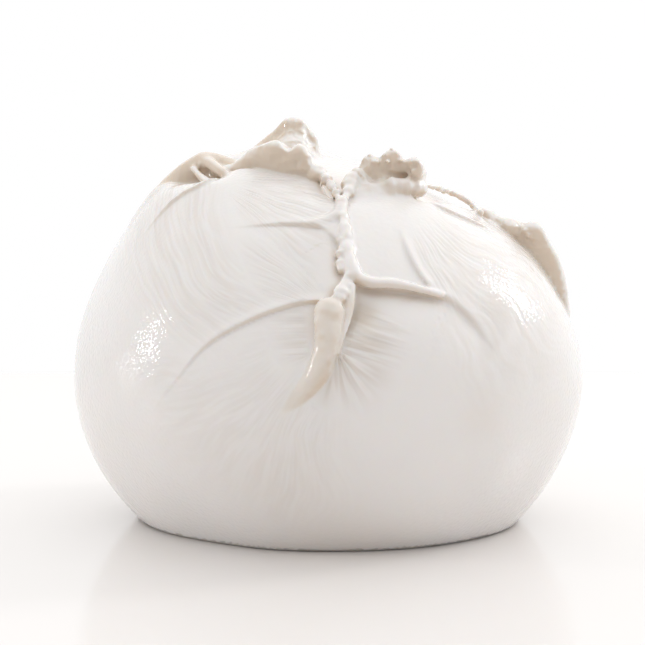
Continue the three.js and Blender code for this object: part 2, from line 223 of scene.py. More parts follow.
def through(knots, step):
    """A smooth curve through the knots, as evenly spaced points about `step` apart."""
    knots = np.asarray(knots, float)
    ends = np.vstack([2 * knots[0] - knots[1], knots, 2 * knots[-1] - knots[-2]])
    pieces = []
    for a, b, c, d in zip(ends[:-3], ends[1:-2], ends[2:-1], ends[3:]):
        gaps = [max(np.linalg.norm(q - p), 1e-6) ** 0.5 for p, q in ((a, b), (b, c), (c, d))]
        t0, t1, t2, t3 = np.cumsum([0, *gaps])
        t = np.linspace(t1, t2, SPAN_POINTS, endpoint=False)[:, None]
        ab = (t1 - t) / (t1 - t0) * a + (t - t0) / (t1 - t0) * b
        bc = (t2 - t) / (t2 - t1) * b + (t - t1) / (t2 - t1) * c
        cd = (t3 - t) / (t3 - t2) * c + (t - t2) / (t3 - t2) * d
        abc = (t2 - t) / (t2 - t0) * ab + (t - t0) / (t2 - t0) * bc
        bcd = (t3 - t) / (t3 - t1) * bc + (t - t1) / (t3 - t1) * cd
        pieces.append((t2 - t) / (t2 - t1) * abc + (t - t1) / (t2 - t1) * bcd)
    line = np.vstack([*pieces, knots[-1:]])
    length = np.concatenate([[0], np.cumsum(np.linalg.norm(np.diff(line, axis=0), axis=1))])
    count = max(2, round(length[-1] / step)) + 1
    even = np.linspace(0, length[-1], count)
    return np.stack([np.interp(even, length, line[:, n]) for n in range(3)], axis=1)


class Trail:
    """A smooth line over the ball that knows which side of it a point lies on."""

    def __init__(self, ball, knots, lift=(0.0, 0.0), step=1.0):
        self.points = through(knots, step)
        self.normals = ball.normal(self.points)
        lifts = np.linspace(*lift, len(self.points))
        self.points = self.points + lifts[:, None] * self.normals
        self.runs = np.diff(self.points, axis=0)
        self.lefts = np.cross(self.normals[:-1], self.runs)
        self.low, self.high = self.points.min(0), self.points.max(0)

    def near(self, p, reach):
        """Which points lie within reach of the trail's box."""
        return np.nonzero(((p > self.low - reach) & (p < self.high + reach)).all(1))[0]

    def nearest(self, p):
        """The distance to the trail, how far along it, and the signed distance to its left."""
        squares = (self.points**2).sum(1) - 2 * p @ self.points.T
        closest = squares.argmin(1)
        found = [self.to_run(p, np.clip(closest - back, 0, len(self.runs) - 1))
                 for back in (1, 0)]
        first = found[0][0] < found[1][0]
        return tuple(np.where(first, a, b) for a, b in zip(*found))

    def to_run(self, p, run):
        """The same for the straight run that is named for each point."""
        ahead, normal = self.runs[run], self.normals[run]
        offset = p - self.points[run]
        t = np.clip(dots(offset, ahead) / dots(ahead, ahead), 0, 1)
        offset -= t[:, None] * ahead
        flat = offset - dots(offset, normal)[:, None] * normal
        side = np.sign(dots(offset, self.lefts[run])) * np.sqrt(dots(flat, flat))
        return np.sqrt(dots(offset, offset)), (run + t) / len(self.runs), side


# ---- the folds: the skin stands high to the left of the trail and drops to its right ----------

FOLD_REACH = 17.0


def fold_lines(ball):
    """Each fold: its knots, drop, how far it takes to recover, its lip and how its ends fade."""
    return [
        {  # the long ridge that runs out to the left
            "knots": ball.seen(
                (-38, 19), (-35, 24), (-31.1, 28.7), (-25.4, 35.4), (-17, 40.4), (-11, 42.9),
                (-5.6, 44.4), (-1.4, 44.6), (1.6, 44.2)
            ),
            "drop": 0.55, "recover": 1.3, "lip": 0.6, "width": 1.4, "edge": 0.25,
            "fade": (0.85, 0.03),
        },
        {  # the right branch, over the deep pocket
            "knots": ball.seen((4.4, 49.2), (13.4, 48.2), (18.9, 47.3), (24.8, 45.6), (28.4, 43.8)),
            "drop": 2.0, "recover": 3.8, "lip": 0.2, "width": 1.6, "edge": 0.45, "fade": (0.1, 0.4),
        },
        {  # the valley that it runs on into, down the right flank
            "knots": ball.seen((20.6, 46.8), (25.4, 45), (29.4, 42), (33, 38), (37, 32)),
            "drop": 0.8, "recover": 4, "lip": 0.3, "width": 2.2, "edge": 0.6, "fade": (0.35, 0.64),
        },
        {  # the lower edge of the upper left lobe
            "knots": ball.seen((-22, 60.2), (-17, 60.5), (-7.3, 61), (-2.2, 60.6), (1, 59.4)),
            "drop": 0.6, "recover": 1.6, "lip": 0.4, "width": 1.6, "edge": 0.3, "fade": (0.8, 0.15),
        },
        {  # the groove along the seam's left side
            "knots": ball.seen((-1.6, 60.4), (1.4, 58.4), (2.9, 55), (3.5, 50), (3.4, 46.6)),
            "drop": 1.3, "recover": 2.2, "lip": 0.6, "width": 4, "edge": 0.5, "fade": (0.35, 0.3),
        },
        {  # the short crease down the upper right lobe
            "knots": ball.seen((14.7, 61.4), (16.1, 57.6), (18, 53), (20.1, 49.6), (22, 47.3)),
            "drop": 0.5, "recover": 4, "lip": 0.45, "width": 1.2, "edge": 0.4, "fade": (0.6, 0.1),
        },
        {  # the edge of the front skin below the left shoulder
            "knots": ball.seen(
                (-21.8, 71.4), (-23.3, 69.6), (-26, 67.6), (-29.4, 66), (-35.3, 62.6), (-41.2, 57.6)
            ),
            "drop": -0.8, "recover": 1.8, "lip": 0.0, "width": 0.9, "edge": 0.25,
            "fade": (0.08, 0.6),
        },
        {  # the thin crease from the right crest down towards the flap
            "knots": ball.seen((19.4, 66.4), (25, 64.4), (31, 61.9), (37.4, 58.8)),
            "drop": 0.6, "recover": 1.8, "lip": 0.3, "width": 1.2, "edge": 0.25,
            "fade": (0.3, 0.4),
        },
        {  # the long tear over the top: the front skin ends here, the curd behind lies lower
            "knots": np.vstack([
                ball.around((98, 8), (96, 22), (94, 36)),
                ball.above(
                    (31, -4), (24, -15), (19, -21), (12, -23), (5, -24), (1.5, -27), (-2, -21),
                    (-8, -19), (-14, -18), (-19, -17), (-27, -13), (-34, -7), (-39, 0)
                ),
            ]),
            "drop": 2.2, "recover": 11, "lip": 0.4, "width": 2.0, "edge": 0.8, "fade": (0.2, 0.2),
        },
        {  # the scar that runs on from the back peak down the back
            "knots": np.vstack([
                ball.above((-8, 2), (-10, 12)),
                ball.around((186, 52), (176, 36), (168, 20), (158, 6)),
            ]),
            "drop": 2.4, "recover": 8, "lip": 0.7, "width": 1.6, "edge": 0.8, "fade": (0.1, 0.5),
        },
        {  # its two branches, round the back left and the back right
            "knots": ball.around((190, 60), (206, 46), (226, 30), (244, 12)),
            "drop": 2.0, "recover": 8, "lip": 0.5, "width": 1.6, "edge": 0.8, "fade": (0.15, 0.5),
        },
        {
            "knots": ball.around((116, 12), (128, 28), (146, 42), (176, 50)),
            "drop": 1.8, "recover": 8, "lip": 0.5, "width": 1.6, "edge": 0.8, "fade": (0.5, 0.15),
        },
    ]


def fold_height(fold, p):
    _, along, side = fold["trail"].nearest(p)
    start, end = fold["fade"]
    taper = smooth_step(0, start, along) * (1 - smooth_step(1 - end, 1, along))
    high = 0.5 * (1 + np.tanh(side / fold["edge"]))
    lip = fold["lip"] * high * np.exp(-((side / fold["width"]) ** 2))
    low = (1 - high) * np.exp(np.minimum(side, 0) / fold["recover"])
    return taper * (lip - fold["drop"] * low)


# ---- swells and dents ------------------------------------------------------------------------

SWELLS = [  # place seen, reach, height
    ((-27, 70), 11, 2.4),  # the full left shoulder
    ((30, 70), 15, -1.4),  # the right slope has slumped
    ((-44, 9), 17, -2.2),  # the belly tucks under at the left ...
    ((44, 12), 14, -0.7),  # ... a little at the right ...
    ((-27, -3), 12, -1.4),  # ... and at the front left
    ((-48, 48), 16, -2.5),  # the upper left flank is flatter ...
    ((-50, 53), 11, -1.3),  # ... right round to its side ...
    ((52, 46), 9, -0.6),  # ... and the upper right one a little
    ((-24.2, 71), 4.0, -4.0),  # the torn hollow in the left shoulder ...
    ((-28.4, 70.4), 4.0, -2.6),  # ... and its second, smaller one
    ((6.5, 42.6), 4.4, -1.4),  # the pocket right of the finger ...
    ((6.4, 43.8), 2.6, -1.8),  # ... deepest at the fork
    ((-6.5, 38.5), 5, -0.8),  # the soft hollow left of the finger
    ((1.5, 69), 4.5, -2),  # the notch between the two torn crests
    ((33, 37), 6, -0.7),  # the shallow valley past the right branch
]

# ---- pleats: gathers that start square to a root line and fan out past its lower end -----------

PLEAT_FANS = [
    {  # right of the finger, sweeping round to straight down
        "root": ((4.6, 43.2), (1.9, 34.6)), "side": 1, "bend": 4.6, "sweep": 2.1,
        "full": 2.4, "end": 14.0, "share": 1.0,
    },
    {  # the short ones left of it
        "root": ((-2.8, 41.8), (-2.6, 33.8)), "side": -1, "bend": 5.0, "sweep": 0.7,
        "full": 2.4, "end": 10.0, "share": 0.35,
    },
]
PLEAT_START = 0.6  # how far out from the root a pleat starts to rise
PLEAT_TOP = (-2.0, 0.5)  # the fan fades in down its root between these
SWEEP_FADE = 0.7  # the last part of the sweep, where it fades out, in radians
PLEAT_DEPTHS = (-30.0, -20.0)  # and it fades out towards the back between these
FAN_REACH = 24.0  # no pleat lies farther than this from the middle of its root
STRONG_PLEAT = 2.4  # mm from one strong pleat to the next
FINE_PLEAT = 1.1  # the fine ones between them, in the same measure as the fibres
PLEAT_SHARE = 3.6  # how much more they show than the fibres do


def pleat_lines(fan, p):
    """How far round the fan each point lies and how far out, in mm, and its share of the pleats."""
    top, bottom = fan["ends"]
    length = np.hypot(*(top - bottom)[[0, 2]])
    down = (bottom - top)[[0, 2]] / length
    out = fan["side"] * np.array([-down[1], down[0]])
    across = (p[:, 0] - top[0]) * out[0] + (p[:, 2] - top[2]) * out[1]
    below = (p[:, 0] - top[0]) * down[0] + (p[:, 2] - top[2]) * down[1]
    past = np.maximum(below - length, 0)
    turn = np.arctan2(past, across)
    away = np.where(past > 0, np.hypot(past, across), across)
    round_fan = np.clip(below, PLEAT_TOP[0], length) + fan["bend"] * turn
    rise = smooth_step(PLEAT_START, fan["full"], away)
    reach = rise * (1 - smooth_step(fan["full"], fan["end"], away))
    swept = smooth_step(fan["sweep"] - SWEEP_FADE, fan["sweep"], turn)
    ends = smooth_step(*PLEAT_TOP, below) * (1 - swept)
    front = 1 - smooth_step(*PLEAT_DEPTHS, p[:, 1])
    return round_fan, away, fan["share"] * reach * ends * front


def pleat_height(fan, p, height):
    """The strong pleats, uneven in height and spacing."""
    round_fan, away, share = pleat_lines(fan, p)
    phase = round_fan / STRONG_PLEAT
    phase += 0.16 * np.sin(2.3 * phase + 1) + 0.08 * np.sin(0.4 * away + 1.7 * phase)
    strong = 0.7 + 0.3 * np.sin(1.9 * phase + 0.7)
    return height * strong * share * np.cos(2 * np.pi * phase)


# ---- cords of curd ---------------------------------------------------------------------------

CORD_REACH = 6.0
PLAIN_CORD = {"lift": (0, 0), "beads": (0, 0)}  # unless a cord says otherwise
CORD_STEP = 0.7  # between the points of a cord's trail
CORD_GRAINS = ((2.4, 8.0, 0.7), (1.2, 9.0, 0.4))  # lump size, seed and share of the unevenness


def cord_lines(ball):
    """Each cord: its knots, lift off the ball and radius at both ends, beads, join softness.

    Beads are how many and how strong. A flat cord is lower than it is wide; a shade paints shade on
    it.
    """
    return [
        {  # the seam, a rope of soft beads that runs down from the torn top and thickens
            "knots": ball.seen(
                (3.1, 65.6), (3.4, 62.9), (3.6, 60.5), (4.2, 56.1), (4.6, 53), (5.2, 50.4)
            ),
            "lift": (0.2, 0.5), "radius": (0.75, 1.3), "beads": (4.3, 0.12), "uneven": 0.3,
            "soft": 0.8,
        },
        {  # its right branch
            "knots": ball.seen((4.8, 51.6), (6.4, 49.6), (9, 48.6), (13.4, 48.4), (18.9, 47.4),
                               (24, 46)),
            "lift": (0.5, 0.0), "radius": (1.3, 0.55), "uneven": 0.12, "soft": 0.9,
        },
        {  # the knuckles at the fork
            "knots": ball.seen((4.4, 49.4), (3.6, 48), (2.9, 46.6), (2.5, 45.2)),
            "lift": (0.5, 1.3), "radius": (1.0, 1.4), "beads": (1.4, 0.12), "uneven": 0.35,
            "soft": 0.8,
        },
        {  # knuckles left of the seam
            "knots": ball.seen((3.4, 57.2), (2.8, 54), (3, 51.6)),
            "radius": (0.7, 0.9), "beads": (2.3, 0.35), "uneven": 0.3, "soft": 0.5,
        },
        {  # the drooping finger: its thick round top stands well off, its tip sinks in
            "knots": ball.seen(
                (0.4, 42.0), (0.2, 39.8), (0, 36.7), (-0.8, 32.9), (-2.2, 29.6), (-4.4, 26.4),
                (-6.8, 24), (-9, 22)
            ),
            "lift": (1.2, -1.0), "radius": (2.9, 1.1), "uneven": 0.1, "soft": 0.9,
            # its face gets painted shade
            "flat": 1.2, "shade": 0.48,
        },
        {  # the thin strip along the finger's right side
            "knots": ball.seen((4.8, 47.4), (4.7, 43.6), (3.9, 40), (2.8, 36.8), (2, 34.2)),
            "lift": (0.8, 0.3), "radius": (1.0, 0.5), "uneven": 0.1, "soft": 0.6,
        },
        {  # curd that fills the fork behind them
            "knots": ball.seen((4.2, 46), (3.9, 44.6), (3.6, 42.6)),
            "radius": (1.0, 0.8), "uneven": 0.1, "soft": 0.8,
        },
        {  # the thin web from the seam to the upper left lobe
            "knots": ball.seen((-4.6, 61.2), (-0.4, 62), (2.2, 63.6), (2.9, 65.4)),
            "lift": (-0.5, 0), "radius": (0.6, 0.9), "uneven": 0.12, "soft": 1.2,
        },
        {  # beads up the left edge of the right crest
            "knots": ball.seen((3.4, 65.4), (4.1, 67.1), (5.0, 69.6)),
            "lift": (0.3, 0.5), "radius": (0.8, 0.8), "beads": (2.5, 0.2), "uneven": 0.3,
            "soft": 0.7,
        },
        {  # crumbs down the right edge of the left crest
            "knots": ball.seen((-1.6, 71.4), (0.3, 69.6), (1.4, 68), (2.6, 65.6)),
            "lift": (0.3, 0.2), "radius": (1.1, 0.6), "beads": (4, 0.3), "uneven": 0.3, "soft": 0.6,
        },
        {  # strands pulled out under the slit of the right crest
            "knots": spots((13.8, 69, -23.8), (15.8, 69.2, -23.2), (17.8, 68.8, -22.4),
                           (19.6, 68.5, -20.8)),
            "radius": (0.65, 0.6), "beads": (2.3, 0.25), "uneven": 0.4,
            "soft": 1.6,
        },
        {
            "knots": ball.seen((12.4, 69), (15.4, 68.6), (18.2, 68)),
            "lift": (0.5, -0.6), "radius": (0.6, 0.4), "uneven": 0.25, "soft": 0.8,
        },
        {  # the ragged ridge from the right crest to the far right flap
            "knots": ball.seen((20.4, 69.4), (23, 68.8), (26, 67.7), (28.4, 66.6), (30.4, 65.2),
                               (32.2, 63.4)),
            "lift": (-0.1, 0.1), "radius": (0.6, 0.65), "beads": (8.5, 0.16), "uneven": 0.35,
            "soft": 1.2,
        },
        {  # two ridges of pulled curd that run back from the peak
            "knots": ball.above((-8, -2), (-9, 5), (-12, 13), (-17, 22)),
            "lift": (0.4, 0.4), "radius": (3.4, 0.8), "beads": (1.5, 0.1), "uneven": 0.3, "soft": 2,
        },
        {
            "knots": ball.above((-5, -1), (-1, 6), (6, 15)),
            "lift": (-0.8, 0), "radius": (2.2, 0.4), "uneven": 0.12, "soft": 2,
        },
        {  # the crest of the left shoulder
            "knots": spots((-39, 62, -4), (-35.4, 67.2, -5.4), (-31.4, 71.5, -7),
                           (-27.8, 73.9, -8.6), (-25.2, 74.6, -9.4), (-23, 73.8, -9.8),
                           (-20.4, 71.6, -10)),
            "lift": (-1.6, 0), "radius": (1.9, 1.9), "uneven": 0.05, "soft": 3.4,
            # shade painted on the shoulder's crest
            "shade": 0.75,
        },
        {  # the ridge that comes forward from it, over the torn hollow
            "knots": spots((-26.2, 74.2, -10), (-24.8, 73.9, -12.4), (-23.4, 72.9, -14.8),
                           (-22, 71.8, -16.4), (-20.4, 71, -17)),
            "radius": (1.3, 0.9), "uneven": 0.06, "soft": 1.4,
            # shade painted on this ridge
            "shade": 0.5,
        },
        {  # the tongue of curd in the hollow
            "knots": spots((-28.2, 72.6, -11.4), (-26.6, 71, -14.4), (-24.8, 69.4, -17.4)),
            "radius": (0.5, 1.0), "uneven": 0.12, "soft": 1.6,
        },
    ]


def cord_gap(cord, p):
    distance, along, side = cord["trail"].nearest(p)
    if "flat" in cord:
        rise = np.maximum(distance**2 - side**2, 0)
        distance = np.sqrt(side**2 + cord["flat"] ** 2 * rise)
    beads, depth = cord["beads"]
    turn = 2 * np.pi * beads * along
    swell = 1 + depth * (0.7 * np.cos(turn) + 0.5 * np.cos(1.63 * turn + 1))
    start, end = cord["radius"]
    uneven = sum(share * roughness(p, grain, seed) for grain, seed, share in CORD_GRAINS)
    return distance - (start + (end - start) * along) * (swell + cord["uneven"] * uneven)


# ---- torn crests: smooth rolls of curd on ribs that run from a foot line to a rim line ---------
# Their places are (x, v, depth): as seen from the front, and how far behind the middle.

PEAK_RIDGE = [
    (-25.4, 72.6, -1), (-21.4, 73.7, -2.2), (-17.4, 74.7, -3.2), (-12.6, 77.4, -3.8),
    (-9.6, 79.7, -4.4), (-8.0, 81.7, -4.8), (-6.2, 81.8, -4.8), (-5.2, 80.4, -4.4),
    (-3.7, 78.9, -4), (-3.4, 77, -3.4), (-4, 75.2, -3),
]
CRESTS = [
    {  # the front of the back peak, a cone with a blunt edge down its middle
        "foot": [(-25.4, 72.2, -4), (-17, 71, -9.5), (-10.6, 70.4, -15.4), (-8.4, 70.2, -15.8),
                 (-4.8, 70.8, -12), (-3.2, 72, -6)],
        "rim": PEAK_RIDGE, "radius": (1.2, 0.8), "ribs": 33, "blend": 0.9, "foot_soft": 2.4,
        "lumps": [(-8.4, 82, -5.2, 0.7), (-5.9, 82.1, -5.2, 0.7), (-4.3, 79.8, -5, 0.7),
                  (-4.2, 76.6, -6.4, 1.0), (-5.4, 78.4, -7, 0.8)],
        "rough": 0.3,
    },
    {  # its back
        "foot": [(-25.4, 72.2, 1), (-16, 70.6, 8), (-7, 70.8, 8), (-3.6, 71.6, 0)],
        "rim": PEAK_RIDGE, "radius": (1.7, 0.9), "ribs": 21, "blend": 1.4, "foot_soft": 2.4,
        "rough": 0.5,
    },
    {  # the front crest, a thick roll with a steep face
        "foot": [(-23, 71.8, -12.6), (-19.4, 71.8, -14.8), (-14, 72.2, -16.8), (-11, 72, -18.4),
                 (-8.6, 71.8, -19.2), (-5.2, 71.6, -19.8), (-2.4, 71.4, -20.2)],
        "rim": [(-22.4, 71.7, -13), (-19.4, 72.5, -14.6), (-17, 74, -16),
                (-14.6, 75.9, -17.6), (-12, 76.9, -19.8), (-9.8, 76.7, -20.6), (-8.2, 74.7, -20.6),
                (-6.8, 75.8, -21.2), (-5.7, 76.3, -21.4), (-4.9, 74.6, -21.2),
                (-3.8, 72.6, -21.2), (-2.2, 71.8, -21.4)],
        "radius": (1.5, 1.3), "ribs": 33, "blend": 1.0, "foot_soft": 0.8,
        "lumps": [(-11, 76.5, -20, 1.7), (-6, 76.2, -21.6, 1.3), (-14.8, 75.3, -17.8, 1.5),
                  (-2.6, 71.6, -22, 1.2), (-4.8, 73.4, -21.8, 1.0)],
        "pits": [(-8.2, 78, -21.8, 1.2), (-8.8, 73, -24, 1.6)], "rough": 0.25,
    },
    {  # the right crest, with a spike, a curled knob at its right end and a slit under it
        "foot": [(4.8, 67.2, -25), (8, 68, -23.6), (11.6, 67.8, -22.8), (15.6, 68, -21.4),
                 (20, 68.4, -19)],
        "rim": [(5, 69, -23.8), (6.8, 71.6, -22.2), (8.9, 74.3, -21.6), (10.6, 73.6, -21.6),
                (12.1, 74.2, -21.6), (13.5, 75.9, -21.6), (14.8, 74.2, -21.4), (16.2, 73.2, -21.2),
                (18.4, 73.3, -20.4), (19.8, 71.8, -18.6)],
        "radius": (1.1, 1.0), "ribs": 31, "blend": 1.0, "foot_soft": 2.6,
        "lumps": [(4.7, 67.6, -25.6, 1.0), (4.5, 69.2, -25, 1.0), (5.2, 70.8, -24.4, 1.0),
                  (6.4, 72.1, -23.4, 0.9),
                  (13.5, 76.8, -21.8, 0.5), (9, 75.4, -21.8, 0.5), (12.7, 73.9, -23, 0.75),
                  (10.4, 74, -22.6, 0.8), (15, 74.1, -22.4, 0.8), (18.6, 73.1, -22, 1.95)],
        "pits": [(9.8, 71.5, -23.8, 1.5), (12.2, 71.7, -23.6, 1.6), (15.4, 72, -23.4, 1.6),
                 (18, 73.2, -23.9, 0.9), (20.9, 74.2, -21, 0.7),
                 (12.6, 71.1, -22.7, 0.7), (13.2, 71.05, -22.4, 0.8), (13.8, 71, -22.3, 0.85),
                 (14.3, 70.95, -22.3, 0.85), (14.8, 70.9, -22.1, 0.85), (15.3, 70.85, -21.8, 0.85),
                 (15.8, 70.8, -21.6, 0.8), (16.3, 70.7, -21.5, 0.75), (16.9, 70.6, -21.5, 0.6)],
        "rough": 0.35,
    },
    {  # the far right flap, torn loose behind the edge of the front skin
        "foot": [(31, 61.8, 3), (36, 57.8, 3), (41.4, 53, 3.4), (45.2, 49.6, 4),
                 (47.4, 45.6, 4.4), (48.6, 41, 5)],
        "rim": [(31.4, 63.2, 0), (33.4, 62.7, 0), (36, 61.1, 0), (38.8, 60.7, 0),
                (40.6, 59.5, 0.6), (42.2, 59.7, 0), (43.6, 60.0, 0), (44.5, 58.8, 0),
                (45.1, 57.4, 0.4), (46, 55.6, 1), (46.9, 54, 1.6), (48.1, 51, 2.4),
                (48.8, 48, 3), (49.3, 45, 3.4), (49.9, 41.6, 4)],
        "radius": (2.6, 1.2), "ribs": 45, "blend": 1.6, "foot_soft": 0.8,
        "lumps": [(43.4, 59.7, -0.6, 1.6), (38.4, 60.2, -0.6, 1.6), (34, 62.2, -0.4, 1.2),
                  (41.6, 59.6, -1.4, 0.7), (42.3, 58.7, -1.6, 0.6)],
        "pits": [(41.2, 61.6, -0.6, 0.7)], "rough": 0.2,
    },
]
RIB_STEP = 0.25  # between the points of a foot or rim line, where ribs may start and end
GRAIN_REACH = 2.5  # how far from the wall its grain is worked out
GRAIN_CUT, GRAIN_EDGE = 1.6, 0.6  # how deep the grain cuts in, and how far its edges stand out
LUMP_SOFT = 0.6  # how far a lump or pit blends in, as a share of its radius


def make_crest(crest):
    """Adds to a crest the ends of its ribs, its lumps and pits as points, and its box."""
    foot, rim = (through(spots(*crest[line]), RIB_STEP) for line in ("foot", "rim"))
    shares = np.linspace(0, 1, crest["ribs"])
    feet, rims = (line[np.round(shares * (len(line) - 1)).astype(int)] for line in (foot, rim))
    balls = {kind: [(at_depth(spot[:2], spot[2]), spot[3]) for spot in crest.get(kind, [])]
             for kind in ("lumps", "pits")}
    ends = np.vstack([foot, rim])
    return {**crest, **balls, "feet": feet, "ribs": rims - feet, "low": ends.min(0),
            "high": ends.max(0)}


def rib_gap(crest, p):
    """The gap to the web of all ribs, blended where they meet."""
    feet, ribs = crest["feet"], crest["ribs"]
    reach = p @ ribs.T - (feet * ribs).sum(1)
    squares = (ribs**2).sum(1)
    t = np.clip(reach / squares, 0, 1)
    away = (p**2).sum(1)[:, None] + (feet**2).sum(1) - 2 * p @ feet.T
    away = np.sqrt(np.maximum(away - 2 * t * reach + t * t * squares, 0))
    start, end = crest["radius"]
    gaps = away - (start + (end - start) * t)
    lowest = gaps.min(1)
    soft = crest["blend"] / 4
    return lowest - soft * np.log(np.exp((lowest[:, None] - gaps) / soft).sum(1))


def crest_gap(crest, p, rough):
    wall = rib_gap(crest, p)
    for spot, size in crest["lumps"]:
        wall = join(wall, np.sqrt(((p - spot) ** 2).sum(1)) - size, LUMP_SOFT * size)
    for spot, size in crest["pits"]:
        wall = carve(wall, np.sqrt(((p - spot) ** 2).sum(1)) - size, LUMP_SOFT * size)
    near = np.nonzero(np.abs(wall) < GRAIN_REACH)[0]
    spots = p[near]
    waves = np.abs(roughness(spots, 3.2, 1.0)) + 0.45 * np.abs(roughness(spots, 1.5, 2.0))
    fade = 1 - np.abs(wall[near]) / GRAIN_REACH
    wall[near] += rough * crest["rough"] * fade * (GRAIN_CUT * waves - GRAIN_EDGE)
    return wall


# ---- the whole skin --------------------------------------------------------------------------


WAVE = (0.3, 15.0)  # height and length of the slow waves in the skin


class Skin:
    """The gap field of the finished cheese."""

    def __init__(self, sizes):
        self.ball = Ball(sizes)
        self.folds = fold_lines(self.ball)
        self.cords = [{**PLAIN_CORD, **cord} for cord in cord_lines(self.ball)]
        for fold in self.folds:
            fold["trail"] = Trail(self.ball, fold["knots"])
        for cord in self.cords:
            cord["trail"] = Trail(self.ball, cord["knots"], cord["lift"], CORD_STEP)
        self.fans = [{**fan, "ends": self.ball.seen(*fan["root"])} for fan in PLEAT_FANS]
        self.swells = [(self.ball.seen(place)[0], reach, height)
                       for place, reach, height in SWELLS]
        self.crests = [make_crest(crest) for crest in CRESTS]
        self.pleat_height = sizes.pleat_height / MM
        self.torn_roughness = sizes.torn_roughness

    def height(self, p):
        """How far folds, swells and pleats raise the skin over the plain ball."""
        total = WAVE[0] * roughness(p, WAVE[1], 5.0)
        for fan in self.fans:
            near = np.nonzero((np.abs(p - fan["ends"].mean(0)) < FAN_REACH).all(1))[0]
            total[near] += pleat_height(fan, p[near], self.pleat_height)
        for fold in self.folds:
            near = fold["trail"].near(p, FOLD_REACH)
            if len(near):
                total[near] += fold_height(fold, p[near])
        for spot, reach, height in self.swells:
            away = ((p - spot) ** 2).sum(1) / reach**2
            total += height * np.exp(-away)
        return total

    def gap(self, p):
        """How far each point stands off the cheese, negative inside."""
        gap = self.ball.gap(p) - self.height(p)
        for cord in self.cords:
            near = cord["trail"].near(p, CORD_REACH)
            if len(near):
                gap[near] = join(gap[near], cord_gap(cord, p[near]), cord["soft"])
        for crest in self.crests:
            inside = (p > crest["low"] - CORD_REACH) & (p < crest["high"] + CORD_REACH)
            near = np.nonzero(inside.all(1))[0]
            if len(near):
                wall = crest_gap(crest, p[near], self.torn_roughness)
                gap[near] = join(gap[near], wall, crest["foot_soft"])
        return gap

    def slope(self, p, step=0.08):
        """The outward slope of the gap, by four samples at the corners of a tetrahedron."""
        corners = np.array([[1, -1, -1], [-1, -1, 1], [-1, 1, -1], [1, 1, 1]], float)
        total = np.zeros_like(p)
        for corner in corners:
            total += self.gap(p + step * corner)[:, None] * corner
        return total / (4 * step)


# ---- meshing the field -----------------------------------------------------------------------


GRID_GROWTH = 1.06  # from one grid step to the next, outside the fine part


def graded(low, high, fine_low, fine_high, fine, coarse):
    """Grid lines from low to high, `fine` apart in the middle and growing to `coarse` outside."""
    lines = list(np.arange(fine_low, fine_high + fine / 2, fine))
    step = fine
    while lines[-1] < high:
        step = min(step * GRID_GROWTH, coarse)
        lines.append(lines[-1] + step)
    step = fine
    while lines[0] > low:
        step = min(step * GRID_GROWTH, coarse)
        lines.insert(0, lines[0] - step)
    return np.array(lines)


CELL_EDGES = [
    (a, tuple(int(v) + (n == axis) for n, v in enumerate(a)))
    for axis in range(3)
    for a in [(i, j, k) for i in (0, 1) for j in (0, 1) for k in (0, 1)]
    if a[axis] == 0
]


def surface_net(xs, ys, zs, field):
    """A closed mesh of quads where the field changes sign: one vertex in each mixed cell."""
    inside = field < 0
    count = np.zeros([n - 1 for n in field.shape], np.int8)
    for i in (0, 1):
        for j in (0, 1):
            for k in (0, 1):
                count += inside[i:i - 1 or None, j:j - 1 or None, k:k - 1 or None]
    cells = np.argwhere((count > 0) & (count < 8))
    number = np.full(count.shape, -1, np.int64)
    number[tuple(cells.T)] = np.arange(len(cells))
    total = np.zeros((len(cells), 3))
    crossings = np.zeros(len(cells))
    for a, b in CELL_EDGES:
        ia, ib = cells + a, cells + b
        fa, fb = field[tuple(ia.T)], field[tuple(ib.T)]
        hit = (fa < 0) != (fb < 0)
        t = np.where(hit, fa / np.where(hit, fa - fb, 1), 0)
        pa = np.stack([xs[ia[:, 0]], ys[ia[:, 1]], zs[ia[:, 2]]], axis=1)
        pb = np.stack([xs[ib[:, 0]], ys[ib[:, 1]], zs[ib[:, 2]]], axis=1)
        total += np.where(hit[:, None], pa + t[:, None] * (pb - pa), 0)
        crossings += hit
    quads = []
    for axis in range(3):
        here = inside.take(range(inside.shape[axis] - 1), axis)
        there = inside.take(range(1, inside.shape[axis]), axis)
        edges = np.argwhere(here != there)
        leaving = here[tuple(edges.T)]
        u, w = np.eye(3, dtype=int)[(axis + 1) % 3], np.eye(3, dtype=int)[(axis + 2) % 3]
        ring = [number[tuple((edges - back).T)] for back in (u * 0, u, u + w, w)]
        quad = np.stack(ring, axis=1)
        quad[~leaving] = quad[~leaving][:, ::-1]
        quads.append(quad)
    return total / crossings[:, None], np.vstack(quads)


BLOCK = 4  # grid steps in a block
BLOCK_REACH = 0.9  # how near the skin passes, in block diagonals, where a block is worked out
BALL_REACH = 20.0  # the skin lies nowhere farther than this from the plain ball
BATCH = 300000  # grid points worked out at once


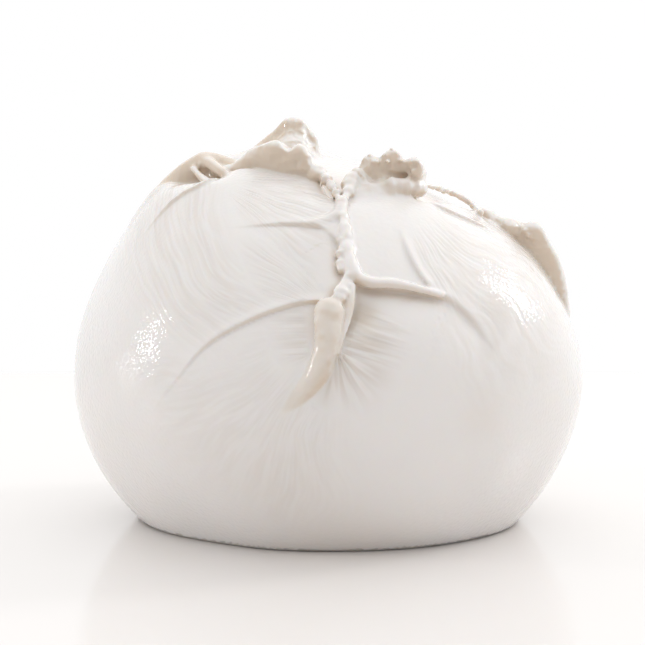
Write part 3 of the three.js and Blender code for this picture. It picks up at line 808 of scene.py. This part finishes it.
def sample(skin, lines):
    """The gap on the grid, worked out in full only in the blocks that the skin passes through."""
    count = [len(line) for line in lines]
    picks = [np.append(np.arange(0, n - 1, BLOCK), n - 1) for n in count]
    corners = [line[pick] for line, pick in zip(lines, picks)]
    spots = np.stack(np.meshgrid(*corners, indexing="ij"), axis=-1)
    coarse = skin.ball.gap(spots.reshape(-1, 3))
    near = np.nonzero(np.abs(coarse) < BALL_REACH)[0]
    coarse[near] = skin.gap(spots.reshape(-1, 3)[near])
    coarse = coarse.reshape(spots.shape[:3])
    nearest = [np.abs(np.subtract.outer(np.arange(n), pick)).argmin(1)
               for n, pick in zip(count, picks)]
    field = coarse[np.ix_(*nearest)]
    steps = [np.diff(line) for line in corners]
    diagonal = np.sqrt(sum(step**2 for step in np.ix_(*steps)))
    closest = np.full(diagonal.shape, np.inf)
    for i in (0, 1):
        for j in (0, 1):
            for k in (0, 1):
                corner = coarse[i:i - 1 or None, j:j - 1 or None, k:k - 1 or None]
                closest = np.minimum(closest, np.abs(corner))
    wanted = np.zeros(count, bool)
    for block in np.argwhere(closest < BLOCK_REACH * diagonal):
        start = [pick[n] for pick, n in zip(picks, block)]
        stop = [pick[n + 1] + 1 for pick, n in zip(picks, block)]
        wanted[start[0]:stop[0], start[1]:stop[1], start[2]:stop[2]] = True
    places = np.argwhere(wanted)
    for part in np.array_split(places, max(1, len(places) // BATCH)):
        spots = np.stack([line[part[:, n]] for n, line in enumerate(lines)], axis=1)
        field[tuple(part.T)] = skin.gap(spots)
    return field


GRID_MARGIN = 2.0  # round the box from the frame
FINE_ACROSS = (-31.0, 34.0)  # the grid is fine between these ...
FINE_BACK = 0.0  # ... as far back as this ...
FINE_ABOVE = 22.0  # ... and from this height up
FLAT_SHARE = 0.4  # points below this share of a coarse cell belong to the flat base


def mesh_points(skin, sizes):
    """The vertices, on the skin in millimetres, their outward normals and the quads."""
    low, high = np.array(BALL_LOW) / MM, np.array(BALL_HIGH) / MM
    fine, coarse = sizes.fine_cell / MM, sizes.coarse_cell / MM
    starts, stops = low - GRID_MARGIN, high + GRID_MARGIN
    lines = (
        graded(starts[0], stops[0], *FINE_ACROSS, fine, coarse),
        graded(starts[1], stops[1], low[1] - 1, FINE_BACK, fine, coarse),
        graded(-GRID_MARGIN, stops[2], FINE_ABOVE, high[2] + 1, fine, coarse),
    )
    field = np.maximum(sample(skin, lines), -lines[2])
    points, quads = biggest_piece(*surface_net(*lines, field))
    settle(skin, points, FLAT_SHARE * coarse)
    points, faces = thin_out(points, quads, sizes.most_triangles)
    normals = settle(skin, points, FLAT_SHARE * coarse)
    return points, normals, faces


SETTLE_ROUNDS = 2
SMALLEST_SLOPE = 0.2  # keeps a point in a sharp groove from being thrown far off
LONGEST_MOVE = 0.6


def settle(skin, points, flat_below):
    """Moves points onto the skin, those of the flat base aside, and gives outward normals."""
    flat = points[:, 2] < flat_below
    slope = skin.slope(points)
    slope[flat] = (0, 0, -1)
    size = (slope**2).sum(1)
    for _ in range(SETTLE_ROUNDS):
        steps = skin.gap(points) / np.maximum(size, SMALLEST_SLOPE)
        steps[flat] = 0
        points -= slope * np.clip(steps, -LONGEST_MOVE, LONGEST_MOVE)[:, None]
    points[flat, 2] = np.maximum(points[flat, 2], 0)
    return slope / np.sqrt(np.maximum(size, 1e-6))[:, None]


def thin_out(points, quads, most):
    """The same surface in at most `most` triangles, with the fewest where it is plain."""
    mesh = make_mesh("raw_curd", points, quads)
    raw = bpy.data.objects.new("raw_curd", mesh)
    bpy.context.scene.collection.objects.link(raw)
    modifier = raw.modifiers.new("thin", "DECIMATE")
    modifier.ratio = min(1, most / (2 * len(quads)))
    thin = raw.evaluated_get(bpy.context.evaluated_depsgraph_get()).to_mesh()
    points = np.empty(3 * len(thin.vertices))
    thin.vertices.foreach_get("co", points)
    thin.calc_loop_triangles()
    faces = np.empty(3 * len(thin.loop_triangles), np.int32)
    thin.loop_triangles.foreach_get("vertices", faces)
    bpy.data.objects.remove(raw)
    bpy.data.meshes.remove(mesh)
    return points.reshape(-1, 3) / MM, faces.reshape(-1, 3)


def fit_box(points, low, high):
    """Scales each way a little, so that the skin just fills the box from the frame."""
    own_low, own_high = points.min(0), points.max(0)
    return low + (points - own_low) * (high - low) / (own_high - own_low)


def biggest_piece(points, quads):
    """Drops every scrap that isn't joined to the ball."""
    label = np.arange(len(points))
    while True:
        lowest = label.copy()
        for n in range(4):
            np.minimum.at(lowest, quads[:, n], label[quads].min(1))
        lowest = lowest[lowest]
        if (lowest == label).all():
            break
        label = lowest
    main = np.bincount(label).argmax()
    kept = np.nonzero(label == main)[0]
    number = np.full(len(points), -1)
    number[kept] = np.arange(len(kept))
    return points[kept], number[quads[label[quads[:, 0]] == main]]


def make_mesh(name, points, faces):
    """A mesh in metres from points in millimetres and faces that all have as many corners."""
    corners = faces.shape[1]
    mesh = bpy.data.meshes.new(name)
    mesh.vertices.add(len(points))
    mesh.vertices.foreach_set("co", (points * MM).astype(np.float32).ravel())
    mesh.loops.add(faces.size)
    mesh.loops.foreach_set("vertex_index", faces.astype(np.int32).ravel())
    mesh.polygons.add(len(faces))
    starts = np.arange(0, faces.size, corners, dtype=np.int32)
    mesh.polygons.foreach_set("loop_start", starts)
    mesh.polygons.foreach_set("use_smooth", np.ones(len(faces), bool))
    mesh.update(calc_edges=True)
    mesh.validate()
    return mesh


def add_values(mesh, name, values):
    kind = "FLOAT" if values.ndim == 1 else "FLOAT_VECTOR"
    field = "value" if values.ndim == 1 else "vector"
    attribute = mesh.attributes.new(name, kind, "POINT")
    attribute.data.foreach_set(field, values.astype(np.float32).ravel())


# ---- what the finish needs to know about the skin ---------------------------------------------

HOLLOW_REACHES = ((1.0, 0.35), (2.5, 0.4), (6.0, 0.25))  # mm off the skin, and its share of how hollow a point is, which sets its painted shade


def hollow_of(skin, points, normals):
    """Painted shade, 0 on open skin, rising to 1 deep in a fold or under a torn edge."""
    ball = skin.ball
    out, start = ball.normal(points), ball.gap(points)
    total = np.zeros(len(points))
    for reach, share in HOLLOW_REACHES:
        free = ball.gap(points + reach * out) - start
        total += share * np.clip(1 - skin.gap(points + reach * normals) / free, 0, 1)
    for near, on_cord, shade in shaded_cords(skin, points):
        total[near] = np.maximum(total[near], shade * on_cord)
    for place, reach, shade in PAINTED_SHADE_PATCHES:
        total = np.maximum(total, shade * patch_of(skin, points, place, reach))
    return total


def patch_of(skin, points, place, reach):
    """1 at the place, fading over its reach: on the ball as seen, or at a depth if it has one."""
    middle = skin.ball.seen(place)[0] if len(place) == 2 else at_depth(place[:2], place[2])
    return np.exp(-((points - middle) ** 2).sum(1) / reach**2)


CORD_EDGE = 0.6  # how far off a cord its painted shade has gone


def shaded_cords(skin, points):
    """For each cord with painted shade: the points near it, 1 on the cord to 0 off it, and its
    shade.
    """
    for cord in skin.cords:
        if "shade" in cord:
            near = cord["trail"].near(points, CORD_REACH)
            off_cord = cord_gap(cord, points[near]) - cord["soft"] / 4
            yield near, 1 - smooth_step(0, CORD_EDGE, off_cord), cord["shade"]


TO_KEY = np.array([0.77, 0.4, 0.5])  # the way to the brightest light
LIT = (-0.05, 0.45)  # from turned away from it to well lit by it


def painted_underside_shade_of(skin, points, normals):
    """Painted shade: how far the surface turns down from the plain ball's own skin and the light.
    """
    turned = np.clip(skin.ball.normal(points)[:, 2] - normals[:, 2], 0, 1)
    return turned * (1 - smooth_step(*LIT, normals @ TO_KEY))


TORN_EDGE = (0.1, 1.6)  # how far off a crest torn curd turns to skin
# torn curd has its own colour, and the painted shade is stronger on it
TEARS = [((6.6, 42.6), 5.5), ((-25.4, 70.8), 5.0)]  # torn open without a crest: place, reach
# patches of painted shade, warm and darker: place, reach, how strong the shade is
PAINTED_SHADE_PATCHES = [((7, 42.8), 4, 0.7), ((33.2, 20), 9, 0.42), ((-8, 2), 20, 0.4), ((2, -8), 24, 0.5),
           ((-35, 67), 7, 0.35), ((-12.5, 77.6, -5), 5, 0.85)]


def torn_of(skin, points):
    """1 where the surface is torn curd, 0 where it is stretched skin."""
    torn = np.zeros(len(points))
    for crest in skin.crests:
        inside = (points > crest["low"] - CORD_REACH) & (points < crest["high"] + CORD_REACH)
        near = np.nonzero(inside.all(1))[0]
        wall = crest_gap(crest, points[near], skin.torn_roughness)
        torn[near] = np.maximum(torn[near], 1 - smooth_step(*TORN_EDGE, wall))
    for place, reach in TEARS:
        torn = np.maximum(torn, patch_of(skin, points, place, reach))
    # cords with painted shade count as torn curd, for its colour and its fuller painted shade
    for near, on_cord, _ in shaded_cords(skin, points):
        torn[near] = np.maximum(torn[near], on_cord)
    return torn


FIBRE_FAN = 20.0  # mm of arc for one radian of bearing
FIBRE_SWAY = ((0.11, 12.0, 3.0), (0.03, 5.0, 4.0))  # radians, lump size and seed
FIBRE_DEPTHS = (-12.0, 2.0)  # the fibres fade out towards the back between these
FIBRE_STRETCH, PLEAT_STRETCH = 9, 14  # how much longer than wide a fibre and a fine pleat are
FIBRE_PANELS = [
    # centre seen, kind, middle bearing and half spread in degrees (0 right, 90 up), from, to, share
    {"centre": (-23.3, 70.9), "kind": "rays", "bearing": -22, "spread": 34, "near": 3, "far": 30,
     "share": 1},
    {"centre": (-6, 67), "kind": "rings", "bearing": -158, "spread": 62, "near": 13, "far": 42,
     "share": 1},
    {"centre": (13, 70), "kind": "rays", "bearing": -36, "spread": 42, "near": 8, "far": 52,
     "share": 1},
    {"centre": (1, 40), "kind": "rays", "bearing": -135, "spread": 62, "near": 9, "far": 44,
     "share": 0.6},
    {"centre": (2, 43), "kind": "rays", "bearing": 150, "spread": 26, "near": 4, "far": 24,
     "share": 0.8},
]


def fibre_lines(skin, points):
    """Coordinates across and along the fibres, panel by panel, and how strongly they show."""
    lines = np.zeros((len(points), 3))
    share = np.zeros(len(points))
    sway = sum(height * roughness(points, grain, seed) for height, grain, seed in FIBRE_SWAY)
    front = 1 - smooth_step(*FIBRE_DEPTHS, points[:, 1])
    for number, panel in enumerate(FIBRE_PANELS):
        across, _, up = (points - skin.ball.seen(panel["centre"])[0]).T
        away = np.hypot(across, up)
        middle = math.radians(panel["bearing"])
        turn = np.angle(np.exp(1j * (np.arctan2(up, across) - middle)))
        spread = math.radians(panel["spread"])
        width = panel["far"] - panel["near"]
        weight = (
            panel["share"]
            * (1 - smooth_step(0.5 * spread, spread, np.abs(turn)))
            * smooth_step(0, 0.2 * width, away - panel["near"])
            * (1 - smooth_step(0.6 * width, width, away - panel["near"]))
        )
        arc, reach = FIBRE_FAN * (turn + sway), away * (1 + 0.5 * sway)
        first, second = (arc, reach) if panel["kind"] == "rays" else (reach, arc)
        better = weight > share
        apart = np.full(len(points), 7.0 * number)
        lines[better] = np.stack([first, second / FIBRE_STRETCH, apart], 1)[better]
        share = np.abs(np.where(better, weight - share, share - weight))
    share *= front
    for number, fan in enumerate(skin.fans):
        round_fan, away, weight = pleat_lines(fan, points)
        apart = np.full(len(points), -9.0 - 7.0 * number)
        weight = PLEAT_SHARE * weight
        better = weight > share
        across = round_fan / FINE_PLEAT + sway
        lines[better] = np.stack([across, away / PLEAT_STRETCH, apart], 1)[better]
        share = np.abs(np.where(better, weight - share, share - weight))
    return lines, share


# ---- the properties a user would change --------------------------------------------------------

LENGTH = {"subtype": "DISTANCE", "unit": "LENGTH"}


class CURD_PG_ball(bpy.types.PropertyGroup):
    """Sizes of the ball and its relief."""

    half_width: bpy.props.FloatProperty(
        name="Half width", description="From the middle to the side at the waist",
        default=52.8 * MM, **LENGTH)
    half_depth: bpy.props.FloatProperty(
        name="Half depth", description="From the middle to the front at the waist",
        default=50.6 * MM, **LENGTH)
    waist_height: bpy.props.FloatProperty(
        name="Waist height", description="Where the ball is widest", default=30 * MM, **LENGTH)
    dome_rise: bpy.props.FloatProperty(
        name="Dome rise", description="From the waist to the top of the dome",
        default=46 * MM, **LENGTH)
    belly_drop: bpy.props.FloatProperty(
        name="Belly drop", description="From the waist to where the belly would close",
        default=45 * MM, **LENGTH)
    lean: bpy.props.FloatProperty(
        name="Lean", description="How far the top leans to the left", default=6.3 * MM, **LENGTH)
    plan_power: bpy.props.FloatProperty(
        name="Squareness", description="2 is a true ellipse from above, more is squarer",
        default=2.1, min=1.8, max=3)
    pleat_height: bpy.props.FloatProperty(
        name="Pleat height", description="Height of the pleats that fan out from the pinch",
        default=0.2 * MM, **LENGTH)
    torn_roughness: bpy.props.FloatProperty(
        name="Torn roughness", description="How lumpy the torn crests are", default=1.0, min=0)
    fine_cell: bpy.props.FloatProperty(
        name="Fine cell", description="Mesh size at the front and top", default=0.46 * MM, **LENGTH)
    coarse_cell: bpy.props.FloatProperty(
        name="Coarse cell", description="Mesh size at the back and base", default=1.2 * MM,
        **LENGTH)
    most_triangles: bpy.props.IntProperty(
        name="Most triangles", description="The mesh is thinned out to this many",
        default=196000, min=10000)


class CURD_PG_finish(bpy.types.PropertyGroup):
    """Colours, painted shade and gloss of the wet cheese."""

    skin_colour: bpy.props.FloatVectorProperty(
        name="Skin", description="Stretched outer skin", subtype="COLOR", size=3,
        default=(0.88, 0.85, 0.83), min=0, max=1)
    # the colour of the shade painted in folds, hollows, undersides and on torn curd
    hollow_colour: bpy.props.FloatVectorProperty(
        name="Hollows", description="Deep in the folds", subtype="COLOR", size=3,
        default=(0.74, 0.63, 0.52), min=0, max=1)
    torn_colour: bpy.props.FloatVectorProperty(
        name="Torn curd", description="Torn edges and crests", subtype="COLOR", size=3,
        default=(0.86, 0.83, 0.79), min=0, max=1)
    depth: bpy.props.FloatProperty(
        name="Milky depth", description="How far light spreads below the skin",
        default=0.9 * MM, **LENGTH)
    gloss: bpy.props.FloatProperty(
        name="Wet roughness", description="Roughness of the film of whey", default=0.05, min=0,
        max=1)
    film: bpy.props.FloatProperty(
        name="Film ripples", description="Height of the ripples in the film of whey",
        default=0.075 * MM, **LENGTH)
    # fibres toned darker: partly their own grain, partly painted shade along them and in the pleats
    streaks: bpy.props.FloatProperty(
        name="Streaks", description="How much the fibres show as tone", default=0.18, min=0, max=1)
    fibre_height: bpy.props.FloatProperty(
        name="Fibre height", description="Height of the fine fibres in the skin",
        default=0.16 * MM, **LENGTH)


class CURD_PG_stage(bpy.types.PropertyGroup):
    """The pale studio."""

    floor_colour: bpy.props.FloatVectorProperty(
        name="Floor", description="Colour of the floor", subtype="COLOR", size=3,
        default=(0.85, 0.82, 0.8), min=0, max=1)
    floor_back: bpy.props.FloatProperty(
        name="Floor back edge", description="How far behind the ball's middle the floor ends",
        default=248 * MM, **LENGTH)
    back_light: bpy.props.FloatProperty(
        name="Back light", description="Brightness of the white wall behind", default=1.0, min=0)
    front_light: bpy.props.FloatProperty(
        name="Front light", description="Brightness of the room in front", default=0.56, min=0)
    top_light: bpy.props.FloatProperty(
        name="Top light", description="Brightness added overhead", default=0.72, min=0)
    left_light: bpy.props.FloatProperty(
        name="Left share", description="How much of the room's light comes from the left",
        default=0.74, min=0, max=1)
    right_light: bpy.props.FloatProperty(
        name="Right share", description="How much more of it comes from the right",
        default=1.16, min=1)
    key_power: bpy.props.FloatProperty(
        name="Key light", description="Power of the softbox behind at the right, in watts",
        default=1.0, min=0)
    side_power: bpy.props.FloatProperty(
        name="Side light", description="Power of the small window at the left, in watts",
        default=0.5, min=0)


# ---- the finish --------------------------------------------------------------------------------


class NodeBench:
    """Short ways to add and join shader nodes."""

    def __init__(self, tree):
        self.tree = tree
        tree.nodes.clear()

    def add(self, kind, **settings):
        node = self.tree.nodes.new(kind)
        for name, value in settings.items():
            setattr(node, name, value)
        return node

    def put(self, value, socket):
        if isinstance(value, bpy.types.NodeSocket):
            self.tree.links.new(value, socket)
        else:
            socket.default_value = value

    def value_of(self, name):
        return self.add("ShaderNodeAttribute", attribute_name=name).outputs

    def maths(self, operation, a, b):
        node = self.add("ShaderNodeMath", operation=operation)
        self.put(a, node.inputs[0])
        self.put(b, node.inputs[1])
        return node.outputs[0]

    def spread(self, value, low, high, to_low=0.0, to_high=1.0):
        node = self.add("ShaderNodeMapRange", interpolation_type="SMOOTHSTEP")
        for socket, v in zip(node.inputs, (value, low, high, to_low, to_high)):
            self.put(v, socket)
        return node.outputs[0]

    def mix(self, factor, a, b):
        node = self.add("ShaderNodeMix", data_type="RGBA")
        self.put(factor, node.inputs["Factor"])
        for name, v in (("A", a), ("B", b)):
            socket = next(s for s in node.inputs if s.name == name and s.type == "RGBA")
            self.put(v if isinstance(v, bpy.types.NodeSocket) else (*v, 1.0)[:4], socket)
        return next(s for s in node.outputs if s.type == "RGBA")

    def noise(self, vector, scale, detail, rough):
        node = self.add("ShaderNodeTexNoise", noise_dimensions="3D")
        self.put(vector, node.inputs["Vector"])
        self.put(scale, node.inputs["Scale"])
        self.put(detail, node.inputs["Detail"])
        self.put(rough, node.inputs["Roughness"])
        return node.outputs["Fac"]

    def bump(self, height, distance, under=None):
        node = self.add("ShaderNodeBump")
        self.put(height, node.inputs["Height"])
        self.put(distance, node.inputs["Distance"])
        self.put(1.0, node.inputs["Strength"])
        if under is not None:
            self.put(under, node.inputs["Normal"])
        return node.outputs["Normal"]


# each pattern's scale, detail and roughness: the first two follow the fibres, the rest the metre
BROAD_FIBRE = (0.8, 1.0, 0.5)
FINE_FIBRE = (1.8, 0.5, 0.5)
MOTTLE = (70.0, 3.0, 0.5)
PEBBLE = (700.0, 1.0, 0.5)
RIPPLE = (1600.0, 0.0, 0.5)
BROAD_RELIEF, FINE_RELIEF, PEBBLE_RELIEF = 1.4, 0.8, 0.3  # shares of the fibre height
MOST_STREAK = 2.8  # how much more than a plain fibre a pleat may be toned, with painted shade in its grooves


def wet_curd(finish):
    """Milky skin, fine fibres, a film of whey; shade painted in hollows, more so where it is torn.
    """
    material = bpy.data.materials.new("wet_curd")
    material.use_nodes = True
    bench = NodeBench(material.node_tree)
    place = bench.add("ShaderNodeTexCoord").outputs["Object"]
    hollow = bench.value_of("hollow")["Fac"]
    torn = bench.value_of("torn")["Fac"]
    fibres = bench.value_of("fibres")["Vector"]

    fibre_share = bench.value_of("fibre_share")["Fac"]
    # how far the surface turns down and away from the key light, where shade is painted
    under = bench.value_of("under")["Fac"]
    mottle = bench.noise(place, *MOTTLE)
    broad_fibre = bench.noise(fibres, *BROAD_FIBRE)
    fine_fibre = bench.noise(fibres, *FINE_FIBRE)
    pebble = bench.noise(place, *PEBBLE)
    ripple = bench.noise(place, *RIPPLE)

    # painted shade: in hollows and on undersides, stronger on torn curd
    painted_shade_amount = bench.maths("ADD", bench.spread(hollow, 0.15, 0.85, 0.0, 0.9),
                          bench.spread(under, 0.05, 0.8, 0.0, 1.0))
    # shade is painted twice as strongly on torn curd as on skin
    painted_shade_amount = bench.maths("MULTIPLY", painted_shade_amount, bench.spread(torn, 0.0, 1.0, 0.5, 1.0))
    painted_shade_mix = bench.maths("MINIMUM", painted_shade_amount, 1.0)
    colour = bench.mix(bench.spread(mottle, 0.3, 0.75, 0.0, 0.25),
                       finish.skin_colour, tuple(0.93 * c for c in finish.skin_colour))
    # fibres toned darker: partly their own grain, partly painted shade along them and in the pleats
    tone = bench.maths("ADD", bench.spread(broad_fibre, 0.36, 0.64, 0.0, 0.5),
                       bench.spread(fine_fibre, 0.36, 0.64, 0.0, 0.7))
    fibre_tone_and_pleat_shade = bench.maths("MULTIPLY", tone, bench.maths("MINIMUM", fibre_share, MOST_STREAK))
    fibre_tone_and_pleat_shade = bench.maths("MULTIPLY", fibre_tone_and_pleat_shade, finish.streaks)
    colour = bench.mix(fibre_tone_and_pleat_shade, colour, tuple(0.8 * c for c in finish.hollow_colour))
    colour = bench.mix(bench.maths("MULTIPLY", torn, 0.7), colour, finish.torn_colour)
    colour = bench.mix(painted_shade_mix, colour, finish.hollow_colour)

    shader = bench.add("ShaderNodeBsdfPrincipled", subsurface_method="RANDOM_WALK")
    inputs = shader.inputs
    bench.put(colour, inputs["Base Color"])
    bench.put(bench.spread(mottle, 0.25, 0.8, 0.5, 0.62), inputs["Roughness"])
    inputs["IOR"].default_value = 1.38
    inputs["Specular IOR Level"].default_value = 0.3
    inputs["Subsurface Weight"].default_value = 0.4
    inputs["Subsurface Radius"].default_value = (1.0, 0.72, 0.5)
    inputs["Subsurface Scale"].default_value = finish.depth
    inputs["Coat Weight"].default_value = 1.0
    inputs["Coat Roughness"].default_value = finish.gloss
    inputs["Coat IOR"].default_value = 1.35

    broad = bench.maths("MULTIPLY", broad_fibre, fibre_share)
    fine = bench.maths("MULTIPLY", fine_fibre, bench.maths("MINIMUM", fibre_share, 1.0))
    skin_relief = bench.bump(broad, BROAD_RELIEF * finish.fibre_height)
    skin_relief = bench.bump(fine, FINE_RELIEF * finish.fibre_height, under=skin_relief)
    skin_relief = bench.bump(pebble, PEBBLE_RELIEF * finish.fibre_height, under=skin_relief)
    bench.put(skin_relief, inputs["Normal"])
    bench.put(bench.bump(ripple, finish.film, under=skin_relief), inputs["Coat Normal"])
    output = bench.add("ShaderNodeOutputMaterial")
    bench.put(shader.outputs["BSDF"], output.inputs["Surface"])
    return material


# ---- the operators -----------------------------------------------------------------------------


class CURD_OT_ball(bpy.types.Operator):
    """Builds the torn ball and gives it its wet skin"""

    bl_idname = "curd.ball"
    bl_label = "Torn ball"
    bl_options = {"REGISTER", "UNDO"}

    def execute(self, context):
        sizes, finish = context.scene.curd_ball, context.scene.curd_finish
        skin = Skin(sizes)
        points, normals, faces = mesh_points(skin, sizes)
        low, high = (np.array(corner) / MM for corner in (BALL_LOW, BALL_HIGH))
        mesh = make_mesh("torn_ball", fit_box(points, low, high), faces)
        mesh.normals_split_custom_set_from_vertices(normals)
        # where shade is painted: in hollows, on undersides, on shaded cords and in patches
        add_values(mesh, "hollow", hollow_of(skin, points, normals))
        add_values(mesh, "under", painted_underside_shade_of(skin, points, normals))
        add_values(mesh, "torn", torn_of(skin, points))
        lines, share = fibre_lines(skin, points)
        add_values(mesh, "fibres", lines)
        add_values(mesh, "fibre_share", share)
        mesh.materials.append(wet_curd(finish))
        ball = bpy.data.objects.new("torn_ball", mesh)
        context.scene.collection.objects.link(ball)
        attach(ball, "root")
        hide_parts("mozzarella")
        return {"FINISHED"}


FLOOR_HALF = 3.0  # metres
FLOOR_ROUGHNESS = 0.12
LIT_POINT = (0, 0, 0.04)  # where the softboxes point
LAMP_SHARE = 0.12  # of the side light's power


def add_softbox(name, spot, size, power):
    """A rectangular light that faces the ball and isn't seen itself."""
    data = bpy.data.lights.new(name, "AREA")
    data.shape = "RECTANGLE"
    data.size, data.size_y = size
    data.energy = power
    light = bpy.data.objects.new(name, data)
    light.visible_camera = False
    light.location = spot
    ahead = Vector(LIT_POINT) - Vector(spot)
    light.rotation_euler = ahead.to_track_quat("-Z", "Y").to_euler()
    bpy.context.scene.collection.objects.link(light)


class CURD_OT_stage(bpy.types.Operator):
    """Builds the floor, the lights and the camera"""

    bl_idname = "curd.stage"
    bl_label = "Pale studio"
    bl_options = {"REGISTER", "UNDO"}

    def execute(self, context):
        stage = context.scene.curd_stage
        self.make_floor(context, stage)
        self.make_room(context, stage)
        self.make_camera(context)
        return {"FINISHED"}

    def make_floor(self, context, stage):
        mesh = bpy.data.meshes.new("floor")
        corners = [(-FLOOR_HALF, -FLOOR_HALF, 0), (FLOOR_HALF, -FLOOR_HALF, 0),
                   (FLOOR_HALF, stage.floor_back, 0), (-FLOOR_HALF, stage.floor_back, 0)]
        mesh.from_pydata(corners, [], [(0, 1, 2, 3)])
        floor = bpy.data.objects.new("floor", mesh)
        material = bpy.data.materials.new("pale_floor")
        material.use_nodes = True
        shader = material.node_tree.nodes["Principled BSDF"]
        shader.inputs["Base Color"].default_value = (*stage.floor_colour, 1)
        shader.inputs["Roughness"].default_value = FLOOR_ROUGHNESS
        mesh.materials.append(material)
        context.scene.collection.objects.link(floor)

    def make_room(self, context, stage):
        world = bpy.data.worlds.new("white_room")
        world.use_nodes = True
        bench = NodeBench(world.node_tree)
        way = bench.add("ShaderNodeSeparateXYZ")
        bench.put(bench.add("ShaderNodeTexCoord").outputs["Generated"], way.inputs[0])
        behind = bench.spread(way.outputs["Y"], 0.0, 0.9, stage.front_light, stage.back_light)
        above = bench.spread(way.outputs["Z"], 0.2, 1.0, 0.0, stage.top_light)
        from_left = bench.spread(way.outputs["X"], -0.9, -0.2, stage.left_light, 1.0)
        from_right = bench.spread(way.outputs["X"], 0.1, 0.8, 1.0, stage.right_light)
        shade = bench.add("ShaderNodeBackground")
        shade.inputs["Color"].default_value = (1, 1, 1, 1)
        sides = bench.maths("MULTIPLY", from_left, from_right)
        light = bench.maths("MULTIPLY", bench.maths("ADD", behind, above), sides)
        bench.put(light, shade.inputs["Strength"])
        output = bench.add("ShaderNodeOutputWorld")
        bench.put(shade.outputs["Background"], output.inputs["Surface"])
        context.scene.world = world
        add_softbox("key", (0.6, 0.25, 0.39), (0.13, 0.22), stage.key_power)
        add_softbox("left_window", (-0.557, -0.02, 0.145), (0.05, 0.12), stage.side_power)
        add_softbox("left_lamp", (-0.55, 0.09, 0.03), (0.025, 0.09),
                    LAMP_SHARE * stage.side_power)
        context.scene.view_settings.view_transform = "Standard"

    def make_camera(self, context):
        data = bpy.data.cameras.new("camera")
        data.lens = LENS
        camera = bpy.data.objects.new("camera", data)
        camera.location = Vector(EYE * MM)
        camera.rotation_euler = (math.pi / 2 - EYE_PITCH, 0, 0)
        context.scene.collection.objects.link(camera)
        context.scene.camera = camera


class CURD_PT_panel(bpy.types.Panel):
    """Lists the pieces and what can be changed"""

    bl_idname = "CURD_PT_panel"
    bl_label = "Hand-torn Mozzarella"
    bl_space_type = "VIEW_3D"
    bl_region_type = "UI"
    bl_category = "Mozzarella"

    def draw(self, context):
        for operator, group in (("curd.ball", "curd_ball"), (None, "curd_finish"),
                                ("curd.stage", "curd_stage")):
            box = self.layout.box()
            settings = getattr(context.scene, group)
            for name in settings.__annotations__:
                box.prop(settings, name)
            if operator:
                box.operator(operator)


CLASSES = (CURD_PG_ball, CURD_PG_finish, CURD_PG_stage, CURD_OT_ball, CURD_OT_stage,
           CURD_PT_panel)
GROUPS = {"curd_ball": CURD_PG_ball, "curd_finish": CURD_PG_finish, "curd_stage": CURD_PG_stage}


def register():
    for kind in CLASSES:
        bpy.utils.register_class(kind)
    for name, group in GROUPS.items():
        setattr(bpy.types.Scene, name, bpy.props.PointerProperty(type=group))


def unregister():
    for name in GROUPS:
        delattr(bpy.types.Scene, name)
    for kind in reversed(CLASSES):
        bpy.utils.unregister_class(kind)


def main():
    register()
    bpy.ops.curd.ball()
    bpy.ops.curd.stage()
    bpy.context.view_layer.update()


if __name__ == "__main__":
    main()
